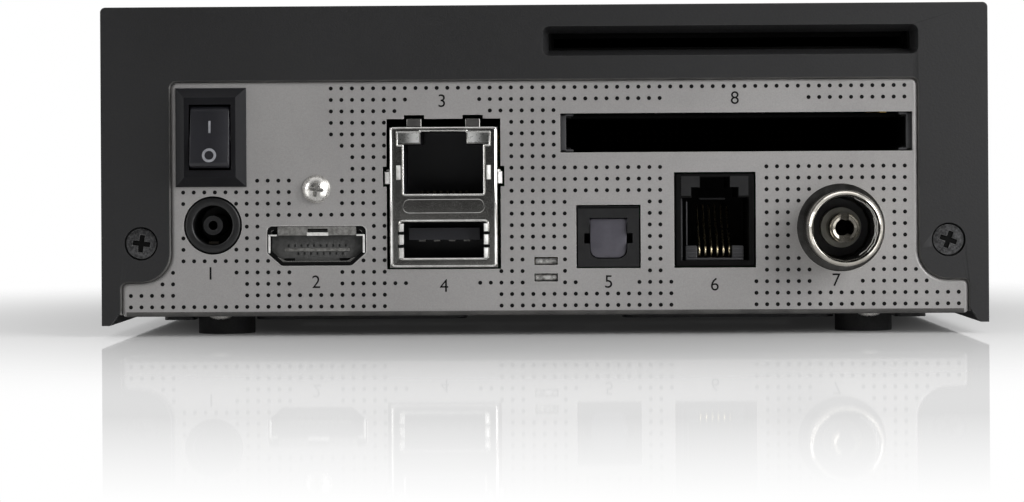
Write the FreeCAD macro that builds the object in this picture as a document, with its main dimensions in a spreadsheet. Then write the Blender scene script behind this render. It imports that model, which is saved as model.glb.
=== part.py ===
import FreeCAD, Part
import math
import os
import Sketcher
from types import SimpleNamespace

# Compact satellite receiver, millimetres.
# +Z is up, the sockets are on the rear (+Y) and the viewer's panel is the front (-Y).
# The origin is on the floor, under the middle of the bounding box.

Vector = FreeCAD.Vector
Rotation = FreeCAD.Rotation

driving_sizes = {
    # housing
    "cover_width": 139.0,
    "cover_height": 50.0,
    "cover_corner": 0.8,
    "cover_wall": 1.3,
    "rear_wall": 2.2,
    "body_depth": 125.0,
    "ground_gap": 1.8,
    "bezel_depth": 5.0,
    "bezel_face": 2.0,
    "running_gap": 0.3,
    "seat_gap": 0.1,
    # opening of the cover's rear wall
    "ear_width": 10.7,
    "window_drop": 11.6,
    "window_corner": 1.0,
    "ear_low": 8.7,
    "ear_radius": 4.6,
    "tab_width": 7.8,
    "tab_corner": 1.0,
    "strip_taper": 2.2,
    # slot for the smart card, in the cover
    "card_offset": 0.9,
    "card_drop": 5.7,
    "card_mouth_width": 58.8,
    "card_mouth_height": 4.66,
    "card_mouth_corner": 1.1,
    "card_mouth_depth": 3.4,
    "card_taper": 16.0,
    "card_boss_edge": 1.4,
    # vents in the cover's sides
    "vent_count": 9.0,
    "vent_pitch": 5.0,
    "vent_width": 2.0,
    "vent_height": 14.0,
    "vent_middle": 32.0,
    # screws that hold the cover
    "cover_screw_inset": 6.25,
    "cover_screw_height": 14.7,
    "cover_screw_recess": 5.3,
    "cover_screw_recess_depth": 1.2,
    "cover_screw_head": 4.85,
    "cover_screw_head_height": 0.95,
    "cover_screw_shank": 3.0,
    "screw_clearance": 0.2,
    "screw_length": 6.0,
    "cross_reach": 2.7,
    "cross_width": 0.65,
    "cross_depth": 0.7,
    "cross_turn": 13.0,
    # rear panel, a folded steel tray
    "panel_gap": 0.2,
    "panel_recess": 0.4,
    "panel_sheet": 0.8,
    "panel_flange": 2.8,
    "panel_edge_round": 0.7,
    "panel_foot": 6.6,
    "socket_margin": 1.05,
    "wing_width": 8.0,
    "wing_height": 7.0,
    # bottom pan
    "pan_height": 4.0,
    "pan_sheet": 0.8,
    "pan_side_gap": 0.4,
    "pan_wall_height": 5.4,
    "pan_wall_set_back": 6.0,
    "bead_depth": 1.8,
    "bead_inner": 12.5,
    "bead_length": 62.0,
    "bead_corner": 3.0,
    "bead_set_back": 9.0,
    "edge_bead_inset": 4.2,
    "edge_bead_width": 4.9,
    "edge_bead_corner": 1.0,
    "floor_vent_count": 7.0,
    "floor_vent_pitch": 7.0,
    # feet and the screws beside them
    "foot_width": 9.1,
    "foot_gap": 0.3,
    "foot_set_back": 12.0,
    "bottom_screw_head": 4.2,
    "bottom_screw_head_height": 1.3,
    "bottom_screw_shank": 2.6,
    "bottom_screw_length": 4.9,
    # main board
    "board_height": 10.7,
    "board_sheet": 1.6,
    "board_side_gap": 1.7,
    "board_clear_rear": 2.0,
    "board_clear_front": 14.0,
    "board_hole_inset": 3.5,
    "board_hole_rear": 22.0,
    "board_hole_front": 14.0,
    "board_hole": 3.2,
    "post_width": 6.0,
    "post_bore": 2.6,
    "board_screw_head": 5.2,
    "board_screw_head_height": 1.6,
    # rocker switch
    "switch_height": 31.3,
    "switch_bezel_width": 11.1,
    "switch_bezel_height": 15.5,
    "switch_bezel_depth": 1.8,
    "switch_bezel_slope": 1.5,
    "switch_body_width": 8.6,
    "switch_body_height": 13.2,
    "switch_body_depth": 13.0,
    "switch_mouth_width": 6.6,
    "switch_mouth_height": 10.3,
    "switch_cavity_depth": 6.0,
    "rocker_width": 6.2,
    "rocker_reach": 5.0,
    "rocker_pivot_depth": 1.2,
    "rocker_end_height": 1.75,
    "rocker_middle_height": 1.5,
    "rocker_skirt": 1.5,
    "rocker_tilt": 9.0,
    "rocker_pin": 1.8,
    "rocker_pin_reach": 0.8,
    "pin_clearance": 0.05,
    "blade_width": 4.8,
    "blade_sheet": 0.8,
    "blade_length": 7.0,
    "blade_pitch": 5.0,
    # internal leads from the switch
    "lead_width": 1.6,
    "lead_header_width": 5.0,
    "lead_header_length": 8.0,
    "lead_header_tall": 6.0,
    "lead_header_set_back": 42.0,
    "lead_pitch": 2.5,
    # direct-current jack
    "jack_offset": 0.2,
    "jack_height": 17.5,
    "jack_nose": 8.7,
    "jack_cavity": 6.2,
    "jack_cavity_depth": 9.5,
    "jack_block_width": 9.4,
    "jack_block_depth": 14.0,
    "jack_pin": 3.0,
    "jack_pin_bore": 1.5,
    "jack_pin_root": 4.0,
    "jack_leaf_width": 1.6,
    "jack_leaf_length": 7.0,
    "jack_leaf_sheet": 0.4,
    "jack_leaf_gap": 0.15,
    "port_gap": 0.25,
    # high-definition video socket
    "video_inset": 23.1,
    "video_height": 14.3,
    "video_width": 15.2,
    "video_tall": 5.7,
    "video_foot_width": 10.3,
    "video_shoulder": 1.5,
    "video_corner": 0.8,
    "video_sheet": 0.4,
    "video_depth": 12.0,
    "video_tongue_width": 10.4,
    "video_tongue_height": 13.6,
    "video_tongue_thick": 0.65,
    "video_tongue_depth": 8.0,
    "video_contact_count": 10.0,
    "video_contact_pitch": 1.0,
    "video_contact_width": 0.45,
    "video_contact_sheet": 0.12,
    "video_root": 2.0,
    "video_leg_width": 1.0,
    "video_leg_length": 7.0,
    "video_screw_height": 23.1,
    "video_lug_width": 7.0,
    "video_lug_sheet": 1.6,
    "panel_screw_head": 4.3,
    "panel_screw_head_height": 1.5,
    # network and serial bus stack
    "stack_inset": 43.1,
    "stack_width": 16.9,
    "stack_top": 32.7,
    "stack_depth": 21.0,
    "stack_out": 0.3,
    "stack_sheet": 0.4,
    "stack_cut_margin": 0.5,
    "stack_cut_top": 1.35,
    "stack_notch_across": 4.6,
    "stack_notch_width": 3.2,
    "stack_notch_reach": 0.6,
    "stack_notch_height": 25.0,
    "stack_finger_width": 2.3,
    "network_width": 12.6,
    "network_low": 22.2,
    "network_top": 30.1,
    "network_notch_width": 7.2,
    "network_notch_top": 32.1,
    "network_cavity_depth": 13.0,
    "network_contact_count": 8.0,
    "network_contact_pitch": 1.02,
    "contact_width": 0.42,
    "contact_sheet": 0.5,
    "contact_set_back": 2.3,
    "pipe_width": 3.4,
    "pipe_low": 30.3,
    "pipe_top": 31.9,
    "pipe_inner": 3.8,
    "bus_width": 13.8,
    "bus_low": 12.1,
    "bus_top": 18.0,
    "bus_cavity_depth": 12.0,
    "bus_tongue_width": 11.3,
    "bus_tongue_low": 15.0,
    "bus_tongue_thick": 1.9,
    "bus_tongue_depth": 9.5,
    "bus_contact_count": 4.0,
    "bus_contact_pitch": 2.35,
    "bus_contact_width": 1.0,
    "bus_contact_sheet": 0.25,
    "bus_contact_set_back": 0.8,
    # two small slots with the grounding clip behind them
    "clip_offset": 29.9,
    "clip_slot_width": 3.67,
    "clip_slot_tall": 1.29,
    "clip_slot_spread": 2.58,
    "clip_rise": 0.45,
    "clip_side_gap": 0.18,
    "clip_curl": 1.03,
    "clip_set_back": 0.16,
    "clip_sheet": 0.4,
    "clip_reach": 6.0,
    # optical output
    "optical_offset": 20.1,
    "optical_width": 9.6,
    "optical_top": 20.15,
    "optical_depth": 15.0,
    "optical_mouth_width": 5.9,
    "optical_mouth_tall": 6.4,
    "optical_mouth_height": 15.15,
    "optical_cavity_depth": 8.5,
    "optical_key_width": 0.85,
    "optical_key_tall": 1.6,
    "shutter_thick": 0.8,
    "shutter_side_gap": 0.12,
    "shutter_pin": 0.9,
    "shutter_pin_reach": 0.6,
    "shutter_set_back": 0.5,
    "lens_width": 2.6,
    "lens_depth": 2.0,
    # modular serial jack
    "serial_offset": 3.4,
    "serial_width": 12.3,
    "serial_top": 25.2,
    "serial_depth": 15.0,
    "serial_mouth_width": 10.6,
    "serial_mouth_low": 11.6,
    "serial_mouth_top": 21.4,
    "serial_step_width": 7.3,
    "serial_step_top": 23.0,
    "serial_notch_width": 4.6,
    "serial_notch_top": 24.6,
    "serial_cavity_depth": 12.0,
    "serial_contact_count": 6.0,
    "serial_contact_pitch": 1.02,
    # tuner and its aerial socket
    "antenna_inset": 12.3,
    "antenna_height": 16.65,
    "antenna_hole": 13.8,
    "antenna_out": 7.0,
    "antenna_width": 11.8,
    "antenna_bore": 10.4,
    "antenna_insulator": 6.3,
    "antenna_contact": 4.7,
    "antenna_contact_bore": 2.4,
    "antenna_contact_out": 5.2,
    "antenna_slit": 0.6,
    "antenna_lip": 0.28,
    "antenna_root": 2.0,
    "tuner_width": 19.0,
    "tuner_tall": 12.4,
    "tuner_length": 44.0,
    "tuner_sheet": 0.5,
    "tuner_set_back": 4.6,
    # common-interface slot
    "module_height": 31.7,
    "module_slot_width": 55.1,
    "module_slot_tall": 6.15,
    "module_rail_sheet": 0.8,
    "module_rail_return": 1.7,
    "module_rail_length": 52.0,
    "module_header_depth": 8.0,
    "module_pin_count": 34.0,
    "module_pin_pitch": 1.27,
    "module_pin_width": 0.45,
    "module_pin_length": 5.0,
    "module_deck_set_back": 6.0,
    "slot_board_width": 64.4,
    "slot_board_sheet": 1.2,
    "slot_board_set_back": 4.0,
    "slot_board_tail": 6.0,
    # card reader above the module slot
    "reader_depth": 60.0,
    "reader_top_gap": 1.5,
    "reader_slot_height": 2.9,
    "reader_slot_width": 55.2,
    "reader_slot_tall": 1.5,
    "reader_sheet": 1.0,
    "reader_stop": 3.0,
    "reader_belly_width": 33.0,
    "reader_belly_length": 24.0,
    "card_contact_columns": 4.0,
    "card_contact_pitch": 2.54,
    "card_contact_rows_apart": 10.0,
    "card_contact_width": 1.0,
    "card_contact_length": 8.0,
    "card_contact_sheet": 0.4,
    "card_cable_width": 20.0,
    "card_cable_sheet": 0.3,
    "card_cable_inset": 1.0,
    "card_board_sheet": 1.2,
    "pillar_width": 4.0,
    "pillar_gap": 0.45,
    "pillar_inset": 2.2,
    "pillar_set_back": 9.0,
    # parts on the main board
    "chip_across": 20.0,
    "chip_set_back": 62.0,
    "chip_width": 23.0,
    "chip_tall": 1.8,
    "sink_width": 30.0,
    "sink_base": 2.0,
    "sink_tall": 12.0,
    "sink_fin": 1.0,
    "sink_fin_count": 8.0,
    "memory_width": 11.0,
    "memory_length": 13.5,
    "memory_tall": 1.1,
    "memory_pitch": 16.0,
    "memory_gap_across": 31.0,
    "can_width": 8.0,
    "can_tall": 12.0,
    "can_pitch": 10.5,
    "can_inset": 9.0,
    "can_set_back": 28.0,
    "coil_width": 7.0,
    "coil_tall": 4.5,
    "coil_inset": 19.0,
    # front
    "lens_strip_width": 76.0,
    "lens_strip_tall": 16.0,
    "lens_strip_sheet": 1.4,
    "lens_strip_lip": 1.6,
    "lens_strip_corner": 2.0,
    "front_middle": 27.5,
    "button_inset": 15.5,
    "button_width": 9.0,
    "button_out": 0.8,
    "button_flange": 1.2,
    "button_flange_tall": 1.0,
    "button_stem": 4.0,
    "button_travel": 0.7,
    "front_board_set_back": 13.0,
    "front_board_tall": 22.0,
    "front_board_inset": 5.5,
    "front_post": 5.0,
    "front_pin": 2.2,
    "front_post_inset": 20.0,
    "front_post_spread": 16.0,
    "tact_width": 6.0,
    "tact_body": 3.5,
    "tact_plunger": 3.4,
    "tact_plunger_tall": 1.5,
    "receiver_width": 6.0,
    "receiver_tall": 7.0,
    "receiver_depth": 5.0,
    "receiver_across": -30.0,
    "led_width": 3.0,
    "led_depth": 5.0,
    "led_across": -18.0,
    "lug_width": 10.0,
    "lug_reach": 14.0,
    "lug_tall": 4.0,
    "spigot_reach": 3.0,
    "spigot_wall": 1.2,
    "connector_width": 24.0,
    "connector_lap": 4.0,
}


class Size:
    """A cell of the sheet, or arithmetic on cells: its value now and its expression."""

    def __init__(self, value, text):
        self.value = float(value)
        self.text = text

    def __add__(self, other):
        return Size(self.value + value_of(other), f"({self.text} + {text_of(other)})")

    def __radd__(self, other):
        return Size(value_of(other) + self.value, f"({text_of(other)} + {self.text})")

    def __sub__(self, other):
        return Size(self.value - value_of(other), f"({self.text} - {text_of(other)})")

    def __rsub__(self, other):
        return Size(value_of(other) - self.value, f"({text_of(other)} - {self.text})")

    def __mul__(self, other):
        return Size(self.value * value_of(other), f"({self.text} * {text_of(other)})")

    def __rmul__(self, other):
        return self * other

    def __truediv__(self, other):
        return Size(self.value / value_of(other), f"({self.text} / {text_of(other)})")

    def __neg__(self):
        return Size(-self.value, f"(0 - {self.text})")


def value_of(amount):
    return amount.value if isinstance(amount, Size) else float(amount)


def text_of(amount):
    return amount.text if isinstance(amount, Size) else f"({amount})"


doc = FreeCAD.newDocument("satellite_receiver")
sheet = doc.addObject("Spreadsheet::Sheet", "Sizes")
for row, (name, number) in enumerate(driving_sizes.items(), 1):
    sheet.set(f"A{row}", name)
    sheet.set(f"B{row}", str(number))
    sheet.setAlias(f"B{row}", name)
size = SimpleNamespace(**{name: Size(number, f"Sizes.{name}") for name, number in driving_sizes.items()})
nodes = []

# planes and heights that the pieces share
back = (size.body_depth + size.button_out - size.antenna_out) / 2
front = back - size.body_depth
join_plane = front + size.bezel_depth
cover_low = size.ground_gap
cover_top = cover_low + size.cover_height
half_cover = size.cover_width / 2
half_inside = half_cover - size.cover_wall
inside_top = cover_top - size.cover_wall
panel_face = back - size.panel_recess
panel_back = panel_face - size.panel_sheet
panel_low = size.pan_height - size.panel_sheet
pan_top = size.pan_height + size.pan_sheet
board_low = size.board_height - size.board_sheet
board_rear = panel_back - size.board_clear_rear
board_front = join_plane + size.board_clear_front
socket_face = panel_face - size.seat_gap

# widths and places across that follow the cover
half_window = half_cover - size.ear_width
half_tab = half_window + size.tab_width
cover_screw_across = half_cover - size.cover_screw_inset
switch_across = half_window - size.socket_margin - size.switch_bezel_width / 2
jack_across = switch_across - size.jack_offset
antenna_across = size.antenna_inset - half_window
module_across = size.module_slot_width / 2 + size.socket_margin - half_window
card_across = module_across + size.card_offset
serial_across = module_across + size.serial_offset
optical_across = module_across + size.optical_offset
clip_across = module_across + size.clip_offset
video_across = half_window - size.video_inset
stack_across = half_window - size.stack_inset
half_pan = half_tab - size.panel_gap - size.panel_sheet - size.pan_side_gap
edge_bead_outer = half_pan - size.edge_bead_inset
edge_bead_inner = edge_bead_outer - size.edge_bead_width
foot_across = edge_bead_inner - size.foot_gap - size.foot_width / 2
bead_outer = foot_across - size.foot_width / 2 - size.foot_gap
half_board = half_pan - size.board_side_gap
board_hole_across = half_board - size.board_hole_inset
half_front_board = half_cover - size.front_board_inset
front_post_across = half_front_board - size.front_post_inset
button_across = half_cover - size.button_inset
pillar_across = size.module_slot_width / 2 + size.pillar_gap + size.pillar_width / 2

# heights that follow the cover's top
window_top = cover_top - size.window_drop
card_height = cover_top - size.card_drop
reader_low = card_height - size.reader_slot_height
reader_top = inside_top - size.reader_top_gap


# ---- ways of making solids -------------------------------------------------

def tie(thing, place, amount):
    thing.setExpression(place, text_of(amount))


def around(middle, width):
    return middle - width / 2, middle + width / 2


def mirrored(side, inner, outer):
    """A span on one side of the middle plane, low end first."""
    return (inner, outer) if side > 0 else (-outer, -inner)


def copies(count, pitch, middle=0.0):
    """Places of a centred row."""
    number = int(round(value_of(count)))
    return [middle + pitch * (index - (number - 1) / 2) for index in range(number)]


def block(x, y, z):
    box = doc.addObject("Part::Box", "block")
    for side, place, (low, high) in zip(("Length", "Width", "Height"), "xyz", (x, y, z)):
        tie(box, side, high - low)
        tie(box, f"Placement.Base.{place}", low)
    return box


def rod(axis, middle, width, span):
    """A cylinder along an axis; middle holds its other two coordinates."""
    cylinder = doc.addObject("Part::Cylinder", "rod")
    turn = {"x": Rotation(Vector(0, 1, 0), 90), "y": Rotation(Vector(1, 0, 0), -90), "z": Rotation()}
    cylinder.Placement = FreeCAD.Placement(Vector(), turn[axis])
    tie(cylinder, "Radius", width / 2)
    tie(cylinder, "Height", span[1] - span[0])
    for place, amount in zip([letter for letter in "xyz" if letter != axis], middle):
        tie(cylinder, f"Placement.Base.{place}", amount)
    tie(cylinder, f"Placement.Base.{axis}", span[0])
    return cylinder


def cone(middle, widths, span):
    """A cone along Y, from the first width to the second."""
    taper = doc.addObject("Part::Cone", "cone")
    taper.Placement = FreeCAD.Placement(Vector(), Rotation(Vector(1, 0, 0), -90))
    tie(taper, "Radius1", widths[0] / 2)
    tie(taper, "Radius2", widths[1] / 2)
    tie(taper, "Height", span[1] - span[0])
    tie(taper, "Placement.Base.x", middle[0])
    tie(taper, "Placement.Base.y", span[0])
    tie(taper, "Placement.Base.z", middle[1])
    return taper


def cross_recess(axis, place, seat, side):
    """Cross-head recess, sunk from a head's top at seat; side is the way the head faces."""
    reach = around(0.0, size.cross_reach)
    width = around(0.0, size.cross_width)
    depth = (-size.cross_depth, 0.1) if side > 0 else (-0.1, size.cross_depth)
    if axis == "y":
        arms = [block(reach, depth, width), block(width, depth, reach)]
    else:
        arms = [block(reach, width, depth), block(width, reach, depth)]
    cross = join(*arms)
    turn_axis = Vector(0, 1, 0) if axis == "y" else Vector(0, 0, 1)
    cross.Placement = FreeCAD.Placement(Vector(), Rotation(turn_axis, size.cross_turn.value))
    tie(cross, "Placement.Rotation.Angle", size.cross_turn)
    for letter, amount in zip([letter for letter in "xyz" if letter != axis], place):
        tie(cross, f"Placement.Base.{letter}", amount)
    tie(cross, f"Placement.Base.{axis}", seat)
    return cross


def join(*solids):
    if len(solids) == 1:
        return solids[0]
    fused = doc.addObject("Part::MultiFuse", "joined")
    fused.Shapes = list(solids)
    fused.Refine = True
    return fused


def cut(solid, *tools):
    remainder = doc.addObject("Part::Cut", "cut")
    remainder.Base = solid
    remainder.Tool = join(*tools)
    return remainder


def group(*solids):
    together = doc.addObject("Part::Compound", "group")
    together.Links = list(solids)
    return together


def node(name, thing):
    thing.Label = name
    nodes.append(thing)
    return thing


def new_body(name):
    return node(name, doc.addObject("PartDesign::Body", name))


def sketch_on(body, plane, offset):
    """A sketch parallel to an origin plane: XY faces +Z, XZ faces -Y and YZ faces +X."""
    sketch = body.newObject("Sketcher::SketchObject", "sketch")
    origin = [feature for feature in body.Origin.OriginFeatures if feature.Role == f"{plane}_Plane"]
    sketch.AttachmentSupport = (origin[0], [""])
    sketch.MapMode = "FlatFace"
    tie(sketch, "AttachmentOffset.Base.z", -offset if plane == "XZ" else offset)
    return sketch


def constrain(sketch, kind, entity, point, amount):
    index = sketch.addConstraint(Sketcher.Constraint(kind, -1, 1, entity, point, value_of(amount)))
    tie(sketch, f"Constraints[{index}]", amount)


def round_corner(before, corner, after, radius):
    """Tangent points, the arc and whether it runs anticlockwise."""
    toward_before = (before - corner).normalize()
    toward_after = (after - corner).normalize()
    half = math.acos(max(-1.0, min(1.0, toward_before.dot(toward_after)))) / 2
    start = corner + toward_before * (radius / math.tan(half))
    end = corner + toward_after * (radius / math.tan(half))
    middle = corner + (toward_before + toward_after).normalize() * (radius / math.sin(half))
    turns_left = (start - middle).cross(end - middle).z > 0
    first, last = (start, end) if turns_left else (end, start)
    first_angle = math.atan2(first.y - middle.y, first.x - middle.x)
    last_angle = math.atan2(last.y - middle.y, last.x - middle.x)
    if last_angle < first_angle:
        last_angle += 2 * math.pi
    arc = Part.ArcOfCircle(Part.Circle(middle, Vector(0, 0, 1), radius), first_angle, last_angle)
    return start, end, arc, turns_left


def outline(sketch, corners):
    """A closed outline through corners (across, up, radius), each tied to the sheet."""
    places = [Vector(value_of(across), value_of(up), 0) for across, up, radius in corners]
    count = len(corners)
    starts = list(places)
    ends = list(places)
    arcs = {}
    for index, (across, up, radius) in enumerate(corners):
        if value_of(radius) > 0:
            before, after = places[index - 1], places[(index + 1) % count]
            start, end, arc, turns_left = round_corner(before, places[index], after, value_of(radius))
            starts[index], ends[index] = start, end
            arcs[index] = (arc, turns_left)
    lines = []
    for index in range(count):
        segment = Part.LineSegment(ends[index], starts[(index + 1) % count])
        lines.append(sketch.addGeometry(segment, False))
    for index, (across, up, radius) in enumerate(corners):
        before, after = lines[index - 1], lines[index]
        if index in arcs:
            arc, turns_left = arcs[index]
            curve = sketch.addGeometry(arc, False)
            corner = sketch.addGeometry(Part.Point(places[index]), True)
            first, last = (1, 2) if turns_left else (2, 1)
            sketch.addConstraint(Sketcher.Constraint("Tangent", before, 2, curve, first))
            sketch.addConstraint(Sketcher.Constraint("Tangent", after, 1, curve, last))
            sketch.addConstraint(Sketcher.Constraint("PointOnObject", corner, 1, before))
            sketch.addConstraint(Sketcher.Constraint("PointOnObject", corner, 1, after))
            bend = sketch.addConstraint(Sketcher.Constraint("Radius", curve, value_of(radius)))
            tie(sketch, f"Constraints[{bend}]", radius)
        else:
            sketch.addConstraint(Sketcher.Constraint("Coincident", before, 2, after, 1))
            corner = after
        constrain(sketch, "DistanceX", corner, 1, across)
        constrain(sketch, "DistanceY", corner, 1, up)


def rectangle(sketch, x, y, radius=0.0):
    outline(sketch, [(x[0], y[0], radius), (x[1], y[0], radius), (x[1], y[1], radius), (x[0], y[1], radius)])


def circle(sketch, across, up, width):
    ring = Part.Circle(Vector(value_of(across), value_of(up), 0), Vector(0, 0, 1), value_of(width) / 2)
    entity = sketch.addGeometry(ring, False)
    constrain(sketch, "DistanceX", entity, 3, across)
    constrain(sketch, "DistanceY", entity, 3, up)
    bend = sketch.addConstraint(Sketcher.Constraint("Radius", entity, value_of(width) / 2))
    tie(sketch, f"Constraints[{bend}]", width / 2)


def pad(body, sketch, length):
    """Adds material along the sketch's normal."""
    feature = body.newObject("PartDesign::Pad", "pad")
    feature.Profile = sketch
    tie(feature, "Length", length)
    return feature


def pocket(body, sketch, length=None, backwards=False):
    """Removes material against the sketch's normal, or right through the body."""
    feature = body.newObject("PartDesign::Pocket", "pocket")
    feature.Profile = sketch
    if length is None:
        feature.SideType = "Symmetric"
        feature.Type = "ThroughAll"
    else:
        tie(feature, "Length", length)
        feature.Reversed = backwards
    return feature


# ---- housing ---------------------------------------------------------------

def window_outline(gap, low):
    """The opening between the cover's ears, shrunk by a gap, down to a height."""
    half_top = half_window - gap
    half_low = half_tab - gap
    top = window_top - gap
    step = size.ear_low - gap
    return half_top, half_low, top, step, low


def window_corners(gap, low, low_corner):
    half_top, half_low, top, step, low = window_outline(gap, low)
    return [
        (-half_low, low, low_corner),
        (half_low, low, low_corner),
        (half_low, step, size.tab_corner),
        (half_top, step, size.ear_radius),
        (half_top, top, size.window_corner),
        (-half_top, top, size.window_corner),
        (-half_top, step, size.ear_radius),
        (-half_low, step, size.tab_corner),
    ]


def build_cover():
    cover = new_body("top_cover")
    shell = sketch_on(cover, "XZ", back)
    outline(shell, [
        (-half_cover, cover_low, 0),
        (half_cover, cover_low, 0),
        (half_cover, cover_top, size.cover_corner),
        (-half_cover, cover_top, size.cover_corner),
    ])
    pad(cover, shell, back - join_plane)
    hollow = sketch_on(cover, "XZ", join_plane)
    rectangle(hollow, (-half_inside, half_inside), (cover_low - 1, inside_top))
    pocket(cover, hollow, back - size.rear_wall - join_plane)
    boss = sketch_on(cover, "XZ", back - size.rear_wall)
    boss_width = size.card_mouth_width + 2 * size.card_boss_edge
    boss_low = card_height - size.card_mouth_height / 2 - size.card_boss_edge
    rectangle(boss, around(card_across, boss_width), (boss_low, inside_top + size.cover_wall / 2))
    pad(cover, boss, size.card_mouth_depth - size.rear_wall)
    mouth = sketch_on(cover, "XZ", back)
    slot_tall = around(card_height, size.card_mouth_height)
    rectangle(mouth, around(card_across, size.card_mouth_width), slot_tall, size.card_mouth_corner)
    funnel = pocket(cover, mouth, size.card_mouth_depth, backwards=True)
    tie(funnel, "TaperAngle", -size.card_taper)
    window = sketch_on(cover, "XZ", back)
    corners = window_corners(0.0, cover_low + size.strip_taper, 0)
    low_edge = [(-half_inside, cover_low, 0), (half_inside, cover_low, 0)]
    outline(window, corners[:1] + low_edge + corners[1:])
    pocket(cover, window)
    screw_holes = sketch_on(cover, "XZ", back)
    recesses = sketch_on(cover, "XZ", back)
    for side in (-1, 1):
        across = cover_screw_across * side
        circle(screw_holes, across, size.cover_screw_height, size.cover_screw_shank + size.screw_clearance)
        circle(recesses, across, size.cover_screw_height, size.cover_screw_recess)
    pocket(cover, screw_holes)
    pocket(cover, recesses, size.cover_screw_recess_depth, backwards=True)
    vents = sketch_on(cover, "YZ", 0.0)
    vent_middle = (join_plane + back) / 2
    for along in copies(size.vent_count, size.vent_pitch, vent_middle):
        rectangle(vents, around(along, size.vent_width), around(size.vent_middle, size.vent_height))
    pocket(cover, vents)


def build_panel():
    """Rear panel: a tray whose rolled edge fills the cover's window, with a foot and two wings."""
    panel = new_body("rear_panel")
    face = sketch_on(panel, "XZ", panel_face)
    outline(face, window_corners(size.panel_gap, panel_low, size.panel_edge_round))
    pad(panel, face, size.panel_flange)
    inside = sketch_on(panel, "XZ", panel_face - size.panel_flange)
    half_top, half_low, top, step, low = window_outline(size.panel_gap + size.panel_sheet, size.pan_height)
    inner_bend = size.ear_radius + size.panel_sheet
    outline(inside, [
        (-half_low, low, 0),
        (half_low, low, 0),
        (half_low, step, 0),
        (half_top, step, inner_bend),
        (half_top, top, 0),
        (-half_top, top, 0),
        (-half_top, step, inner_bend),
        (-half_low, step, 0),
    ])
    pocket(panel, inside, size.panel_flange - size.panel_sheet)
    foot = sketch_on(panel, "XZ", panel_back)
    foot_half = half_tab - size.panel_gap - size.panel_edge_round
    rectangle(foot, (-foot_half, foot_half), (panel_low, size.pan_height))
    pad(panel, foot, size.panel_foot - size.panel_sheet)
    wing_rear = back - size.rear_wall - size.panel_gap
    wing_front = panel_face - size.panel_flange
    wings = sketch_on(panel, "XZ", wing_rear)
    wing_inner = half_window - size.panel_gap - size.panel_sheet
    for side in (-1, 1):
        span = mirrored(side, wing_inner, wing_inner + size.wing_width)
        rectangle(wings, span, around(size.cover_screw_height, size.wing_height))
    pad(panel, wings, wing_rear - wing_front + size.panel_sheet)
    taps = sketch_on(panel, "XZ", wing_rear)
    for side in (-1, 1):
        circle(taps, cover_screw_across * side, size.cover_screw_height, size.cover_screw_shank)
    pocket(panel, taps)
    cut_panel_openings(panel)
    doc.recompute()
    roll_panel_edge(panel)


def cut_panel_openings(panel):
    """One pocket per socket, each from the socket's own size and a gap."""
    gap = size.port_gap
    floor = size.board_height - gap
    margin = size.stack_cut_margin
    slot_middle = clip_middle()
    stack_cut_top = size.stack_top + size.stack_cut_top
    boxes = [
        (around(switch_across, size.switch_body_width + 2 * gap),
         around(size.switch_height, size.switch_body_height + 2 * gap)),
        (around(stack_across, size.stack_width + 2 * margin), (floor, stack_cut_top)),
        (around(stack_across, size.stack_width + 2 * margin + 2 * size.stack_notch_reach),
         around(size.stack_notch_height, size.stack_notch_width)),
        (around(optical_across, size.optical_width + 2 * gap), (floor, size.optical_top + gap)),
        (around(serial_across, size.serial_width + 2 * gap), (floor, size.serial_top + gap)),
        (around(module_across, size.module_slot_width), around(size.module_height, size.module_slot_tall)),
    ]
    for side in (-1, 1):
        slot_tall = around(slot_middle + size.clip_slot_spread * side / 2, size.clip_slot_tall)
        boxes.append((around(clip_across, size.clip_slot_width), slot_tall))
        notch_middle = stack_across + size.stack_notch_across * side
        notch_tall = (size.stack_top, stack_cut_top + size.stack_notch_reach)
        boxes.append((around(notch_middle, size.stack_notch_width), notch_tall))
    for across, up in boxes:
        opening = sketch_on(panel, "XZ", panel_face)
        rectangle(opening, across, up)
        pocket(panel, opening)
    video = sketch_on(panel, "XZ", panel_face)
    outline(video, video_corners(gap))
    pocket(panel, video)
    rounds = sketch_on(panel, "XZ", panel_face)
    circle(rounds, jack_across, size.jack_height, size.jack_nose + 2 * gap)
    circle(rounds, video_across, size.video_screw_height, size.cover_screw_shank + size.screw_clearance)
    circle(rounds, antenna_across, size.antenna_height, size.antenna_hole)
    pocket(panel, rounds)
    foot_holes = sketch_on(panel, "XY", panel_low)
    for side in (-1, 1):
        circle(foot_holes, foot_across * side, foot_screw_along(), size.bottom_screw_shank)
    pocket(panel, foot_holes, size.panel_sheet, backwards=True)


def foot_screw_along():
    """Screws in the panel's foot stand in the middle of its free length."""
    return panel_face - (size.panel_foot + size.panel_sheet) / 2


def roll_panel_edge(panel):
    """Rounds the rear rim of the tray."""
    rim = []
    for index, edge in enumerate(panel.Tip.Shape.Edges, 1):
        box = edge.BoundBox
        flat = box.YMin > panel_face.value - 0.01
        half_top = half_window.value - size.panel_gap.value
        middle = edge.valueAt((edge.FirstParameter + edge.LastParameter) / 2)
        on_top = abs(middle.z - (window_top.value - size.panel_gap.value)) < 0.4
        on_side = abs(middle.x) > half_top - 0.4
        if flat and (on_top or on_side):
            rim.append(f"Edge{index}")
    tray = panel.Tip
    feature = panel.newObject("PartDesign::Fillet", "rolled_edge")
    feature.Base = (tray, rim)
    tie(feature, "Radius", size.panel_edge_round)


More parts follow.
